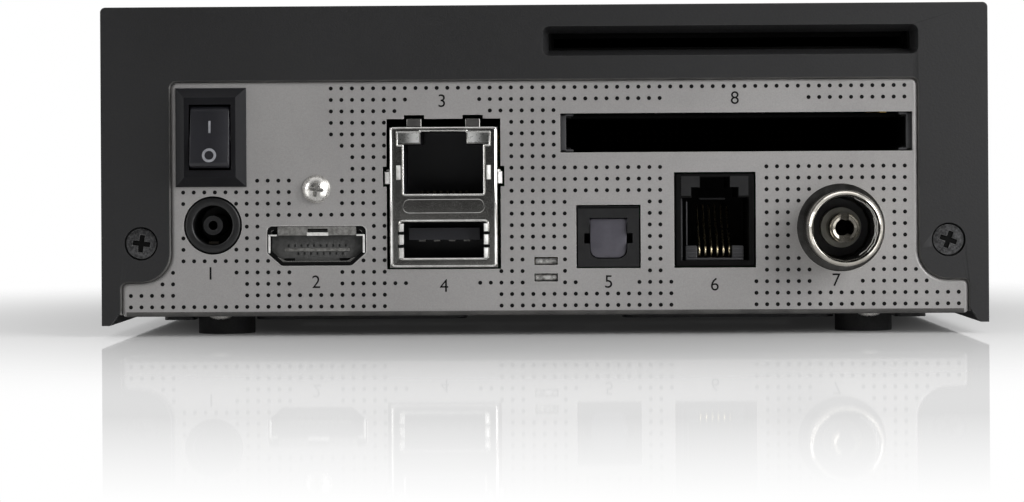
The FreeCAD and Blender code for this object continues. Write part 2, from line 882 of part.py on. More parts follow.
def build_pan():
    """Bottom pan: floor with side walls, pressed beads, and posts for the main board."""
    pan = new_body("bottom_pan")
    pan_rear = panel_back - size.panel_gap
    pan_front = join_plane + size.running_gap
    floor = sketch_on(pan, "XY", size.pan_height)
    rectangle(floor, (-half_pan, half_pan), (pan_front, pan_rear))
    pad(pan, floor, size.pan_sheet)
    wall_front = pan_front + size.pan_wall_set_back
    walls = sketch_on(pan, "XY", pan_top)
    for side in (-1, 1):
        ends = mirrored(side, half_pan - size.pan_sheet, half_pan)
        rectangle(walls, ends, (wall_front, pan_rear - size.pan_wall_set_back))
    pad(pan, walls, size.pan_wall_height)
    bead_rear = panel_face - size.bead_set_back
    along = (bead_rear - size.bead_length, bead_rear)
    sheet_in = size.pan_sheet
    for inner, outer, corner in (
        (size.bead_inner, bead_outer, size.bead_corner),
        (edge_bead_inner, edge_bead_outer, size.edge_bead_corner),
    ):
        for side in (-1, 1):
            ends = mirrored(side, inner, outer)
            bead = sketch_on(pan, "XY", size.pan_height - size.bead_depth)
            rectangle(bead, ends, along, corner)
            pad(pan, bead, size.bead_depth)
            hollow = sketch_on(pan, "XY", pan_top)
            inner_along = (along[0] + sheet_in, along[1] - sheet_in)
            rectangle(hollow, (ends[0] + sheet_in, ends[1] - sheet_in), inner_along)
            pocket(pan, hollow, size.bead_depth)
    posts = sketch_on(pan, "XY", pan_top)
    bores = sketch_on(pan, "XY", board_low)
    for across, along in board_hole_places():
        circle(posts, across, along, size.post_width)
        circle(bores, across, along, size.post_bore)
    pad(pan, posts, board_low - pan_top)
    pocket(pan, bores, board_low - pan_top)
    holes = sketch_on(pan, "XY", size.pan_height)
    for across, along in bottom_screw_places():
        circle(holes, across, along, size.bottom_screw_shank)
    for across in copies(size.floor_vent_count, size.floor_vent_pitch):
        along = (join_plane + bead_rear - size.bead_length) / 2
        rectangle(holes, around(across, size.vent_width), around(along, size.vent_height))
    pocket(pan, holes)


def board_hole_places():
    rear = board_rear - size.board_hole_rear
    ahead = board_front + size.board_hole_front
    return [(board_hole_across * side, along) for along in (rear, ahead) for side in (-1, 1)]


def lug_along():
    return join_plane + size.lug_reach - size.lug_width / 2


def bottom_screw_places():
    along = (foot_screw_along(), lug_along())
    return [(foot_across * side, place) for place in along for side in (-1, 1)]


def build_feet():
    rear = panel_face - size.foot_set_back
    ahead = join_plane + size.foot_set_back + size.lug_reach
    for name, along in (("rear", rear), ("front", ahead)):
        for hand, side in (("left", -1), ("right", 1)):
            foot = rod("z", (foot_across * side, along), size.foot_width, (0.0, size.pan_height))
            node(f"foot_{name}_{hand}", foot)


def screw(axis, place, seat, side, head_width, head_tall, shank_width, length):
    """A cross-head screw: seat is under its head and side the way the head faces."""
    top = seat + head_tall * side
    end = seat - length * side
    head_span = (seat, top) if side > 0 else (top, seat)
    shank_span = (end, seat) if side > 0 else (seat, end)
    body = join(rod(axis, place, head_width, head_span), rod(axis, place, shank_width, shank_span))
    return cut(body, cross_recess(axis, place, top, side))


def build_screws():
    face = back - size.cover_screw_recess_depth
    head_tall = size.cover_screw_head_height
    shank = size.cover_screw_shank
    cover_screws = []
    for side in (-1, 1):
        place = (cover_screw_across * side, size.cover_screw_height)
        length = size.screw_length
        cover_screws.append(screw("y", place, face, 1, size.cover_screw_head, head_tall, shank, length))
    node("cover_screws", group(*cover_screws))
    place = (video_across, size.video_screw_height)
    head_tall = size.panel_screw_head_height
    panel_screw = screw("y", place, panel_face, 1, size.panel_screw_head, head_tall, shank, size.screw_length)
    node("panel_screw", panel_screw)
    bottom_screws = []
    for index, place in enumerate(bottom_screw_places()):
        seat = panel_low if index < 2 else size.pan_height
        head_tall = size.bottom_screw_head_height
        length = size.bottom_screw_length
        shank = size.bottom_screw_shank
        bottom_screws.append(screw("z", place, seat, -1, size.bottom_screw_head, head_tall, shank, length))
    node("bottom_screws", group(*bottom_screws))
    board_screws = []
    for place in board_hole_places():
        length = size.board_height - pan_top - size.seat_gap
        head_tall = size.board_screw_head_height
        board_screws.append(screw("z", place, size.board_height, 1, size.board_screw_head, head_tall,
                                  size.post_bore, length))
    node("board_screws", group(*board_screws))


# ---- power -----------------------------------------------------------------

switch_face = panel_face + size.switch_bezel_depth
pivot_along = switch_face - size.rocker_pivot_depth


def build_switch():
    """Rocker switch housing, its see-saw rocker and its two blades."""
    place = (switch_across, size.switch_height)
    bezel = new_body("switch_housing")
    flange = sketch_on(bezel, "XZ", switch_face)
    rectangle(flange, around(place[0], size.switch_bezel_width), around(place[1], size.switch_bezel_height))
    pad(bezel, flange, size.switch_bezel_depth)
    barrel = sketch_on(bezel, "XZ", panel_face)
    rectangle(barrel, around(place[0], size.switch_body_width), around(place[1], size.switch_body_height))
    pad(bezel, barrel, size.switch_body_depth)
    mouth = sketch_on(bezel, "XZ", switch_face)
    rectangle(mouth, around(place[0], size.switch_mouth_width), around(place[1], size.switch_mouth_height))
    pocket(bezel, mouth, size.switch_cavity_depth, backwards=True)
    bearings = sketch_on(bezel, "YZ", place[0] - pin_half())
    circle(bearings, pivot_along, place[1], size.rocker_pin + 2 * size.pin_clearance)
    pocket(bezel, bearings, 2 * pin_half(), backwards=True)
    doc.recompute()
    chamfer_switch_bezel(bezel)
    build_rocker(place)
    blades = []
    rear = panel_face - size.switch_body_depth
    for height in copies(2, size.blade_pitch, place[1]):
        span = (rear - size.blade_length, rear)
        blades.append(block(around(place[0], size.blade_width), span, around(height, size.blade_sheet)))
    node("switch_terminals", group(*blades))


def pin_half():
    return size.rocker_width / 2 + size.rocker_pin_reach + size.seat_gap


def chamfer_switch_bezel(bezel):
    """Slopes the outer edges of the switch's flange."""
    rim = []
    half = size.switch_bezel_width.value / 2
    tall = size.switch_bezel_height.value / 2
    for index, edge in enumerate(bezel.Tip.Shape.Edges, 1):
        middle = edge.valueAt((edge.FirstParameter + edge.LastParameter) / 2)
        across = abs(abs(middle.x - switch_across.value) - half) < 0.01
        up = abs(abs(middle.z - size.switch_height.value) - tall) < 0.01
        if edge.BoundBox.YMin > switch_face.value - 0.01 and (across or up):
            rim.append(f"Edge{index}")
    square = bezel.Tip
    feature = bezel.newObject("PartDesign::Chamfer", "bezel_slope")
    feature.Base = (square, rim)
    tie(feature, "Size", size.switch_bezel_slope)


def build_rocker(place):
    """The rocker's ends are arcs about its pivot, so its gap stays the same over the swing."""
    rocker = new_body("rocker")
    profile = sketch_on(rocker, "YZ", -size.rocker_width / 2)
    reach = size.rocker_reach.value
    high = size.rocker_end_height.value
    low = -size.rocker_skirt.value
    top_angle = math.asin(high / reach)
    low_angle = math.asin(low / reach)
    circle_line = Part.Circle(Vector(), Vector(0, 0, 1), reach)
    far_end = Part.ArcOfCircle(circle_line, math.pi / 2 - top_angle, math.pi / 2 - low_angle)
    near_end = Part.ArcOfCircle(circle_line, -math.pi / 2 + low_angle, -math.pi / 2 + top_angle)
    arc_far = profile.addGeometry(far_end, False)
    arc_near = profile.addGeometry(near_end, False)
    crest_far = Vector(high, reach * math.cos(top_angle), 0)
    crest_near = Vector(high, -reach * math.cos(top_angle), 0)
    dip = Vector(size.rocker_middle_height.value, 0, 0)
    skirt_far = Vector(low, reach * math.cos(low_angle), 0)
    skirt_near = Vector(low, -reach * math.cos(low_angle), 0)
    face_near = profile.addGeometry(Part.LineSegment(crest_near, dip), False)
    face_far = profile.addGeometry(Part.LineSegment(dip, crest_far), False)
    skirt = profile.addGeometry(Part.LineSegment(skirt_far, skirt_near), False)
    for first, first_end, second, second_end in (
        (face_near, 1, arc_near, 2),
        (face_near, 2, face_far, 1),
        (face_far, 2, arc_far, 1),
        (skirt, 1, arc_far, 2),
        (skirt, 2, arc_near, 1),
    ):
        profile.addConstraint(Sketcher.Constraint("Coincident", first, first_end, second, second_end))
    for arc in (arc_far, arc_near):
        profile.addConstraint(Sketcher.Constraint("Coincident", arc, 3, -1, 1))
        bend = profile.addConstraint(Sketcher.Constraint("Radius", arc, reach))
        tie(profile, f"Constraints[{bend}]", size.rocker_reach)
    for entity, point, amount in (
        (face_near, 1, size.rocker_end_height),
        (face_far, 2, size.rocker_end_height),
        (face_far, 1, size.rocker_middle_height),
        (skirt, 1, -size.rocker_skirt),
        (skirt, 2, -size.rocker_skirt),
    ):
        constrain(profile, "DistanceX", entity, point, amount)
    constrain(profile, "DistanceY", face_far, 1, 0.0)
    pad(rocker, profile, size.rocker_width)
    axle = sketch_on(rocker, "YZ", -(size.rocker_width / 2 + size.rocker_pin_reach))
    circle(axle, 0.0, 0.0, size.rocker_pin)
    pad(rocker, axle, size.rocker_width + 2 * size.rocker_pin_reach)
    rocker.Placement = FreeCAD.Placement(Vector(), Rotation(Vector(1, 0, 0), size.rocker_tilt.value))
    tie(rocker, "Placement.Rotation.Angle", size.rocker_tilt)
    tie(rocker, "Placement.Base.x", place[0])
    tie(rocker, "Placement.Base.y", pivot_along)
    tie(rocker, "Placement.Base.z", place[1])


def bent_path(points):
    """Straight runs joined by tangent arcs, each as large as its two runs allow."""
    edges = []
    last = points[0]
    for index in range(1, len(points) - 1):
        before, corner, after = points[index - 1], points[index], points[index + 1]
        toward_before = (before - corner).normalize()
        toward_after = (after - corner).normalize()
        reach = 0.45 * min((before - corner).Length, (after - corner).Length)
        half = toward_before.getAngle(toward_after) / 2
        start = corner + toward_before * reach
        end = corner + toward_after * reach
        inward = (toward_before + toward_after).normalize()
        radius = reach * math.tan(half)
        middle = corner + inward * (radius / math.sin(half) - radius)
        edges.append(Part.LineSegment(last, start).toShape())
        edges.append(Part.Arc(start, middle, end).toShape())
        last = end
    edges.append(Part.LineSegment(last, points[-1]).toShape())
    return Part.Wire(edges)


def build_leads():
    """Two leads from the switch blades, bending down to their header on the main board."""
    top = size.board_height + size.lead_header_tall
    header_middle = panel_face - size.lead_header_set_back
    across = around(switch_across, size.lead_header_width)
    header = block(across, around(header_middle, size.lead_header_length), (size.board_height, top))
    node("lead_header", header)
    blade_end = panel_face - size.switch_body_depth - size.blade_length
    leads = []
    for side in (-1, 1):
        height = size.switch_height + size.blade_pitch * side / 2
        along = header_middle - size.lead_pitch * side / 2
        route = [(blade_end, height), (along, height), (along, top)]
        points = [Vector(switch_across.value, place.value, lift.value) for place, lift in route]
        spine = bent_path(points)
        ring = Part.Circle(points[0], points[1] - points[0], size.lead_width.value / 2)
        lead = doc.addObject("Part::Feature", "lead")
        lead.Shape = spine.makePipeShell([Part.Wire([ring.toShape()])], True, False)
        leads.append(lead)
    node("switch_leads", group(*leads))


def build_power_jack():
    place = (jack_across, size.jack_height)
    rear = socket_face - size.jack_block_depth
    shoulder = panel_back - size.seat_gap
    top = size.jack_height + size.jack_nose / 2 + size.port_gap
    frame = block(around(place[0], size.jack_block_width), (rear, shoulder), (size.board_height, top))
    nose = rod("y", place, size.jack_nose, (shoulder, panel_face))
    cavity = rod("y", place, size.jack_cavity, (panel_face - size.jack_cavity_depth, panel_face))
    seat = rod("y", place, size.jack_pin, (rear, panel_face))
    node("power_jack", cut(join(frame, nose), cavity, seat))
    pin = rod("y", place, size.jack_pin, (rear, panel_face - size.seat_gap * 4))
    bore = rod("y", place, size.jack_pin_bore, (rear + size.jack_pin_root, panel_face))
    node("power_jack_pin", cut(pin, bore))
    leaf_low = size.jack_height - size.jack_cavity / 2 + size.jack_leaf_gap
    leaf_along = around(panel_face - size.jack_cavity_depth / 2, size.jack_leaf_length)
    leaf_tall = (leaf_low, leaf_low + size.jack_leaf_sheet)
    node("power_jack_spring", block(around(place[0], size.jack_leaf_width), leaf_along, leaf_tall))


# ---- sockets ---------------------------------------------------------------

def video_corners(grow):
    """The D shape of the video socket, grown all round by an amount."""
    half = size.video_width / 2 + grow
    foot = size.video_foot_width / 2 + grow
    top = size.video_height + size.video_tall / 2 + grow
    low = size.video_height - size.video_tall / 2 - grow
    shoulder = size.video_height - size.video_tall / 2 + size.video_shoulder
    middle = video_across
    corner = size.video_corner
    return [
        (middle - foot, low, corner),
        (middle + foot, low, corner),
        (middle + half, shoulder, corner),
        (middle + half, top, corner),
        (middle - half, top, corner),
        (middle - half, shoulder, corner),
    ]


def build_video_socket():
    shell = new_body("video_shell")
    rear = socket_face - size.video_depth
    skin = sketch_on(shell, "XZ", panel_face)
    outline(skin, video_corners(0.0))
    pad(shell, skin, panel_face - rear)
    inside = sketch_on(shell, "XZ", rear)
    outline(inside, video_corners(-size.video_sheet))
    pocket(shell, inside)
    lug = sketch_on(shell, "XZ", panel_back - size.seat_gap)
    lug_low = size.video_height + size.video_tall / 2 - size.video_sheet
    lug_top = size.video_screw_height + size.video_lug_width / 2
    rectangle(lug, around(video_across, size.video_lug_width), (lug_low, lug_top))
    pad(shell, lug, size.video_lug_sheet)
    tap = sketch_on(shell, "XZ", panel_back)
    circle(tap, video_across, size.video_screw_height, size.cover_screw_shank)
    pocket(shell, tap)
    legs = sketch_on(shell, "XY", size.board_height)
    leg_top = size.video_height - size.video_tall / 2 + size.video_sheet / 2
    leg_along = around((panel_back + rear) / 2, size.video_leg_length)
    leg_across = size.video_foot_width / 2 - size.video_corner - size.video_leg_width / 2
    for side in (-1, 1):
        rectangle(legs, around(video_across + leg_across * side, size.video_leg_width), leg_along)
    pad(shell, legs, leg_top - size.board_height)
    tongue_tall = around(size.video_tongue_height, size.video_tongue_thick)
    tongue_along = (rear, rear + size.video_root + size.video_tongue_depth)
    tongue = block(around(video_across, size.video_tongue_width), tongue_along, tongue_tall)
    root_width = size.video_foot_width - 3 * size.video_corner
    root_tall = around(size.video_height, size.video_tall - 2 * size.video_sheet)
    root = block(around(video_across, root_width), (rear, rear + size.video_root), root_tall)
    node("video_insert", join(tongue, root))
    contacts = []
    contact_along = (rear + size.video_root, tongue_along[1] - size.video_sheet)
    upper = (tongue_tall[1], tongue_tall[1] + size.video_contact_sheet)
    lower = (tongue_tall[0] - size.video_contact_sheet, tongue_tall[0])
    for count, spread in ((size.video_contact_count, upper), (size.video_contact_count - 1, lower)):
        for across in copies(count, size.video_contact_pitch, video_across):
            contacts.append(block(around(across, size.video_contact_width), contact_along, spread))
    node("video_contacts", group(*contacts))


def build_stack():
    """Network jack above a serial-bus socket, in one shield."""
    face = back + size.stack_out - size.panel_recess
    rear = face - size.stack_depth
    low = size.board_height
    middle = stack_across
    sheet_in = size.stack_sheet
    shield = block(around(middle, size.stack_width), (rear, face), (low, size.stack_top))
    inner_width = size.stack_width - 2 * sheet_in
    inner_along = (rear + sheet_in, face - sheet_in)
    inner_tall = (low + sheet_in, size.stack_top - sheet_in)
    hollow = block(around(middle, inner_width), inner_along, inner_tall)
    network = network_mouth((face - sheet_in, face))
    bus = block(around(middle, size.bus_width), (face - sheet_in, face), (size.bus_low, size.bus_top))
    pipes = [block(span, (face - sheet_in, face), (size.pipe_low, size.pipe_top)) for span in pipe_spans()]
    fingers = stack_fingers()
    node("stack_shield", join(cut(shield, hollow, *network, bus, *pipes), *fingers))
    core = block(around(middle, inner_width), inner_along, inner_tall)
    network_along = (face - size.network_cavity_depth, face)
    bus_along = (face - size.bus_cavity_depth, face)
    pipe_tall = (size.pipe_low, size.pipe_top)
    cavity = network_mouth(network_along)
    bus_cavity = block(around(middle, size.bus_width), bus_along, (size.bus_low, size.bus_top))
    pipe_beds = [block(span, network_along, pipe_tall) for span in pipe_spans()]
    tongue_tall = (size.bus_tongue_low, size.bus_tongue_low + size.bus_tongue_thick)
    tongue_along = (bus_along[0], bus_along[0] + size.bus_tongue_depth)
    tongue = block(around(middle, size.bus_tongue_width), tongue_along, tongue_tall)
    node("stack_insert", join(cut(core, *cavity, bus_cavity, *pipe_beds), tongue))
    network_contacts = []
    for across in copies(size.network_contact_count, size.network_contact_pitch, middle):
        along = (network_along[0], face - size.contact_set_back)
        tall = (size.network_low, size.network_low + size.contact_sheet)
        network_contacts.append(block(around(across, size.contact_width), along, tall))
    node("network_contacts", group(*network_contacts))
    bus_contacts = []
    for across in copies(size.bus_contact_count, size.bus_contact_pitch, middle):
        along = (tongue_along[0], tongue_along[1] - size.bus_contact_set_back)
        tall = (size.bus_tongue_low - size.bus_contact_sheet, size.bus_tongue_low)
        bus_contacts.append(block(around(across, size.bus_contact_width), along, tall))
    node("bus_contacts", group(*bus_contacts))
    node("light_pipes", group(*[block(span, network_along, pipe_tall) for span in pipe_spans()]))


def stack_fingers():
    """Spring fingers of the shield that press on the edges of the panel's opening."""
    middle = stack_across
    half = size.stack_width / 2
    along = (panel_back, panel_face)
    fingers = []
    for side in (-1, 1):
        across = around(middle + size.stack_notch_across * side, size.stack_finger_width)
        fingers.append(block(across, along, (size.stack_top, size.stack_top + size.stack_cut_top)))
        reach = mirrored(side, half, half + size.stack_cut_margin)
        tall = around(size.stack_notch_height, size.stack_finger_width)
        fingers.append(block((middle + reach[0], middle + reach[1]), along, tall))
    return fingers


def pipe_spans():
    middle = stack_across
    inner = size.pipe_inner
    outer = size.pipe_inner + size.pipe_width
    return [(middle - outer, middle - inner), (middle + inner, middle + outer)]


def network_mouth(along):
    middle = stack_across
    wide = block(around(middle, size.network_width), along, (size.network_low, size.network_top))
    notch = block(around(middle, size.network_notch_width), along, (size.network_top, size.network_notch_top))
    return [wide, notch]


def clip_middle():
    """Height midway between the ground clip's two slots."""
    return (size.board_height + board_low) / 2 + size.clip_rise


def build_ground_clip():
    """Spring strip around the board's rear edge; its two curls press on the panel's slots."""
    sheet_thick = size.clip_sheet
    middle = clip_middle()
    width = around(clip_across, size.clip_slot_width - 2 * size.clip_side_gap)
    along = (board_rear - size.clip_reach, board_rear)
    upper = block(width, along, (size.board_height, size.board_height + sheet_thick))
    lower = block(width, along, (board_low - sheet_thick, board_low))
    spread = (board_low - sheet_thick, middle + (size.clip_slot_spread + sheet_thick) / 2)
    spine = block(width, (board_rear, board_rear + sheet_thick), spread)
    curls = []
    for side in (-1, 1):
        height = middle + size.clip_slot_spread * side / 2
        along = panel_back - size.clip_set_back
        curls.append(rod("x", (along, height), size.clip_curl, width))
        reach = (board_rear, along)
        curls.append(block(width, reach, around(height, sheet_thick)))
    node("ground_clip", join(upper, lower, spine, *curls))


def build_optical():
    face = socket_face
    middle = optical_across
    width = around(middle, size.optical_width)
    frame = block(width, (face - size.optical_depth, face), (size.board_height, size.optical_top))
    mouth_tall = around(size.optical_mouth_height, size.optical_mouth_tall)
    cavity_along = (face - size.optical_cavity_depth, face)
    mouth = block(around(middle, size.optical_mouth_width), cavity_along, mouth_tall)
    key_width = size.optical_mouth_width + 2 * size.optical_key_width
    key_tall = around(size.optical_mouth_height, size.optical_key_tall)
    keys = block(around(middle, key_width), cavity_along, key_tall)
    axis_height = mouth_tall[1] - size.shutter_pin / 2 - size.shutter_side_gap
    axis_along = face - size.shutter_set_back - size.shutter_pin / 2
    pin_width = size.optical_mouth_width + 2 * size.shutter_pin_reach
    bearing_width = size.shutter_pin + 2 * size.pin_clearance
    bearing = rod("x", (axis_along, axis_height), bearing_width, around(middle, pin_width))
    lens_along = (cavity_along[0] - size.lens_depth, cavity_along[0])
    window = rod("y", (middle, size.optical_mouth_height), size.lens_width, lens_along)
    node("optical_body", cut(frame, mouth, keys, bearing, window))
    flap_width = size.optical_mouth_width - 2 * size.shutter_side_gap
    flap_tall = (mouth_tall[0] + size.shutter_side_gap, axis_height)
    flap = block(around(middle, flap_width), around(axis_along, size.shutter_thick), flap_tall)
    pin_span = around(middle, pin_width - 2 * size.pin_clearance)
    pin = rod("x", (axis_along, axis_height), size.shutter_pin, pin_span)
    node("optical_shutter", join(flap, pin))
    emitter = rod("y", (middle, size.optical_mouth_height), size.lens_width, lens_along)
    node("optical_emitter", emitter)


def build_serial_jack():
    face = socket_face
    middle = serial_across
    frame_tall = (size.board_height, size.serial_top)
    frame = block(around(middle, size.serial_width), (face - size.serial_depth, face), frame_tall)
    along = (face - size.serial_cavity_depth, face)
    hollows = [
        block(around(middle, width), along, tall)
        for width, tall in (
            (size.serial_mouth_width, (size.serial_mouth_low, size.serial_mouth_top)),
            (size.serial_step_width, (size.serial_mouth_top, size.serial_step_top)),
            (size.serial_notch_width, (size.serial_step_top, size.serial_notch_top)),
        )
    ]
    node("serial_jack", cut(frame, *hollows))
    contacts = []
    for across in copies(size.serial_contact_count, size.serial_contact_pitch, middle):
        tall = (size.serial_mouth_low, size.serial_mouth_low + size.contact_sheet)
        contact_along = (along[0], face - size.contact_set_back)
        contacts.append(block(around(across, size.contact_width), contact_along, tall))
    node("serial_contacts", group(*contacts))


def build_tuner():
    middle = antenna_across
    height = size.antenna_height
    rear = panel_back - size.tuner_set_back
    far = rear - size.tuner_length
    tall = (size.board_height, size.board_height + size.tuner_tall)
    sheet_in = size.tuner_sheet
    can = block(around(middle, size.tuner_width), (far, rear), tall)
    hollow_width = around(middle, size.tuner_width - 2 * sheet_in)
    hollow = block(hollow_width, (far + sheet_in, rear - sheet_in), (tall[0], tall[1] - sheet_in))
    port = rod("y", (middle, height), size.antenna_insulator, (rear - sheet_in, rear))
    node("tuner_can", cut(can, hollow, port))
    tip = back + size.antenna_out
    rounding = (size.antenna_width - size.antenna_bore) / 2
    tube = rod("y", (middle, height), size.antenna_width, (rear, tip - rounding))
    nose_widths = (size.antenna_width, size.antenna_bore + size.antenna_lip)
    nose = cone((middle, height), nose_widths, (tip - rounding, tip))
    root = rear + size.antenna_root
    bore = rod("y", (middle, height), size.antenna_bore, (root, tip))
    throat = rod("y", (middle, height), size.antenna_insulator, (rear, root))
    node("antenna_shell", cut(join(tube, nose), bore, throat))
    disc = rod("y", (middle, height), size.antenna_insulator, (rear - sheet_in, panel_face))
    hole = rod("y", (middle, height), size.antenna_contact, (rear - sheet_in, panel_face))
    node("antenna_insulator", cut(disc, hole))
    contact_tip = back + size.antenna_contact_out
    contact = rod("y", (middle, height), size.antenna_contact, (rear - sheet_in, contact_tip))
    contact_bore = rod("y", (middle, height), size.antenna_contact_bore, (root, contact_tip))
    slit_tall = around(height, size.antenna_contact)
    slit = block(around(middle, size.antenna_slit), (panel_face, contact_tip), slit_tall)
    node("antenna_contact", cut(contact, contact_bore, slit))


# ---- slots -----------------------------------------------------------------

def slot_board_low():
    return size.module_height - size.module_slot_tall / 2 - size.slot_board_sheet


def slot_board_span():
    rear = panel_back - size.slot_board_set_back
    return rear - size.module_rail_length - size.module_header_depth - size.slot_board_tail, rear


def card_board_low():
    return reader_low - size.card_board_sheet


def pillar_places():
    low, high = slot_board_span()
    ends = (low + size.pillar_inset, high - size.pillar_set_back)
    return [(module_across + pillar_across * side, along) for along in ends for side in (-1, 1)]


def build_module_slot():
    middle = module_across
    low = size.module_height - size.module_slot_tall / 2
    high = size.module_height + size.module_slot_tall / 2
    face = panel_back - size.seat_gap
    header_face = face - size.module_rail_length
    sheet_in = size.module_rail_sheet
    rails = []
    half = size.module_slot_width / 2
    for side in (-1, 1):
        outer = (middle + half * side, middle + (half - sheet_in) * side)
        inner = (middle + half * side, middle + (half - size.module_rail_return) * side)
        web = outer if side < 0 else outer[::-1]
        lip = inner if side < 0 else inner[::-1]
        rails.append(block(web, (header_face, face), (low, high)))
        rails.append(block(lip, (header_face, face), (low, low + sheet_in)))
        rails.append(block(lip, (header_face, face), (high - sheet_in, high)))
    deck_along = (header_face, face - size.module_deck_set_back)
    deck = block((middle - half, middle + half), deck_along, (high - sheet_in, high))
    node("module_cage", join(deck, *rails))
    header_along = (header_face - size.module_header_depth, header_face)
    node("module_header", block((middle - half, middle + half), header_along, (low, high)))
    pins = []
    along = (header_face, header_face + size.module_pin_length)
    for height in around(size.module_height, size.module_pin_pitch):
        tall = around(height, size.module_pin_width)
        for across in copies(size.module_pin_count, size.module_pin_pitch, middle):
            pins.append(block(around(across, size.module_pin_width), along, tall))
    node("module_pins", group(*pins))
    span = slot_board_span()
    board_tall = (slot_board_low(), low)
    board = block(around(middle, size.slot_board_width), span, board_tall)
    holes = [rod("z", place, size.bottom_screw_shank, board_tall) for place in pillar_places()]
    node("slot_board", cut(board, *holes))


def build_card_reader():
    middle = card_across
    mouth_plane = back - size.card_mouth_depth
    rear = mouth_plane - size.seat_gap
    span = slot_board_span()
    low = card_board_low()
    board_tall = (low, reader_low)
    board = block(around(module_across, size.slot_board_width), (span[0], rear), board_tall)
    holes = [rod("z", place, size.bottom_screw_shank, board_tall) for place in pillar_places()]
    node("card_board", cut(board, *holes))
    reader_width = size.reader_slot_width + 2 * size.reader_sheet
    frame_along = (rear - size.reader_depth, rear)
    frame = block(around(middle, reader_width), frame_along, (reader_low, reader_top))
    slot_width = around(middle, size.reader_slot_width)
    slot_along = (rear - size.reader_depth + size.reader_stop, rear)
    slot = block(slot_width, slot_along, around(card_height, size.reader_slot_tall))
    belly_tall = (reader_low, card_height - size.reader_slot_tall / 2)
    belly_middle = rear - size.reader_depth / 2
    belly_along = around(belly_middle, size.reader_belly_length)
    belly = block(around(middle, size.reader_belly_width), belly_along, belly_tall)
    node("card_reader", cut(frame, slot, belly))
    contacts = []
    contact_tall = (reader_low, reader_low + size.card_contact_sheet)
    for row in (-1, 1):
        along = around(belly_middle + size.card_contact_rows_apart * row / 2, size.card_contact_length)
        for across in copies(size.card_contact_columns, size.card_contact_pitch, middle):
            contacts.append(block(around(across, size.card_contact_width), along, contact_tall))
    node("card_contacts", group(*contacts))


def build_pillars():
    """Brass pillars: main board to slot board, and slot board to card board."""
    pillars = []
    slot_low = slot_board_low()
    slot_top = slot_low + size.slot_board_sheet
    for place in pillar_places():
        lower = rod("z", place, size.pillar_width, (size.board_height, slot_low))
        upper = rod("z", place, size.pillar_width, (slot_top, card_board_low()))
        neck = rod("z", place, size.bottom_screw_shank, (slot_low, slot_top))
        tip = rod("z", place, size.bottom_screw_shank, (card_board_low(), reader_low))
        pillars.append(join(lower, neck, upper, tip))
    node("board_pillars", group(*pillars))


def build_card_cable():
    """Flat cable from the card board down to the slot board's free end."""
    span = slot_board_span()
    cable_face = span[0] + size.card_cable_inset
    along = (cable_face, cable_face + size.card_cable_sheet)
    low = slot_board_low() + size.slot_board_sheet
    node("card_cable", block(around(module_across, size.card_cable_width), along, (low, card_board_low())))


# ---- main board ------------------------------------------------------------

def build_main_board():
    board = new_body("main_board")
    plate = sketch_on(board, "XY", board_low)
    rectangle(plate, (-half_board, half_board), (board_front, board_rear))
    for across, along in board_hole_places():
        circle(plate, across, along, size.board_hole)
    pad(board, plate, size.board_sheet)
    top = size.board_height
    chip_along = panel_face - size.chip_set_back
    base_low = top + size.chip_tall
    chip_span = around(size.chip_across, size.chip_width)
    node("main_chip", block(chip_span, around(chip_along, size.chip_width), (top, base_low)))
    width = around(size.chip_across, size.sink_width)
    along = around(chip_along, size.sink_width)
    solids = [block(width, along, (base_low, base_low + size.sink_base))]
    pitch = (size.sink_width - size.sink_fin) / (size.sink_fin_count - 1)
    for across in copies(size.sink_fin_count, pitch, size.chip_across):
        solids.append(block(around(across, size.sink_fin), along, (base_low, base_low + size.sink_tall)))
    node("heat_sink", join(*solids))
    memory = []
    for place in copies(3, size.memory_pitch, chip_along):
        across = around(size.chip_across - size.memory_gap_across, size.memory_width)
        memory.append(block(across, around(place, size.memory_length), (top, top + size.memory_tall)))
    node("memory_chips", group(*memory))
    cans = []
    cans_middle = panel_face - size.lead_header_set_back - size.can_set_back
    for place in copies(4, size.can_pitch, cans_middle):
        can_place = (board_hole_across - size.can_inset, place)
        cans.append(rod("z", can_place, size.can_width, (top, top + size.can_tall)))
    node("capacitors", group(*cans))
    coils = []
    for place in copies(3, size.can_pitch, cans_middle):
        across = around(board_hole_across - size.coil_inset, size.coil_width)
        coils.append(block(across, around(place, size.coil_width), (top, top + size.coil_tall)))
    node("inductors", group(*coils))


# ---- front -----------------------------------------------------------------

front_board_face = front + size.front_board_set_back


def front_post_places():
    return [
        (front_post_across * side, size.front_middle + size.front_post_spread * lift / 2)
        for side in (-1, 1)
        for lift in (-1, 1)
    ]


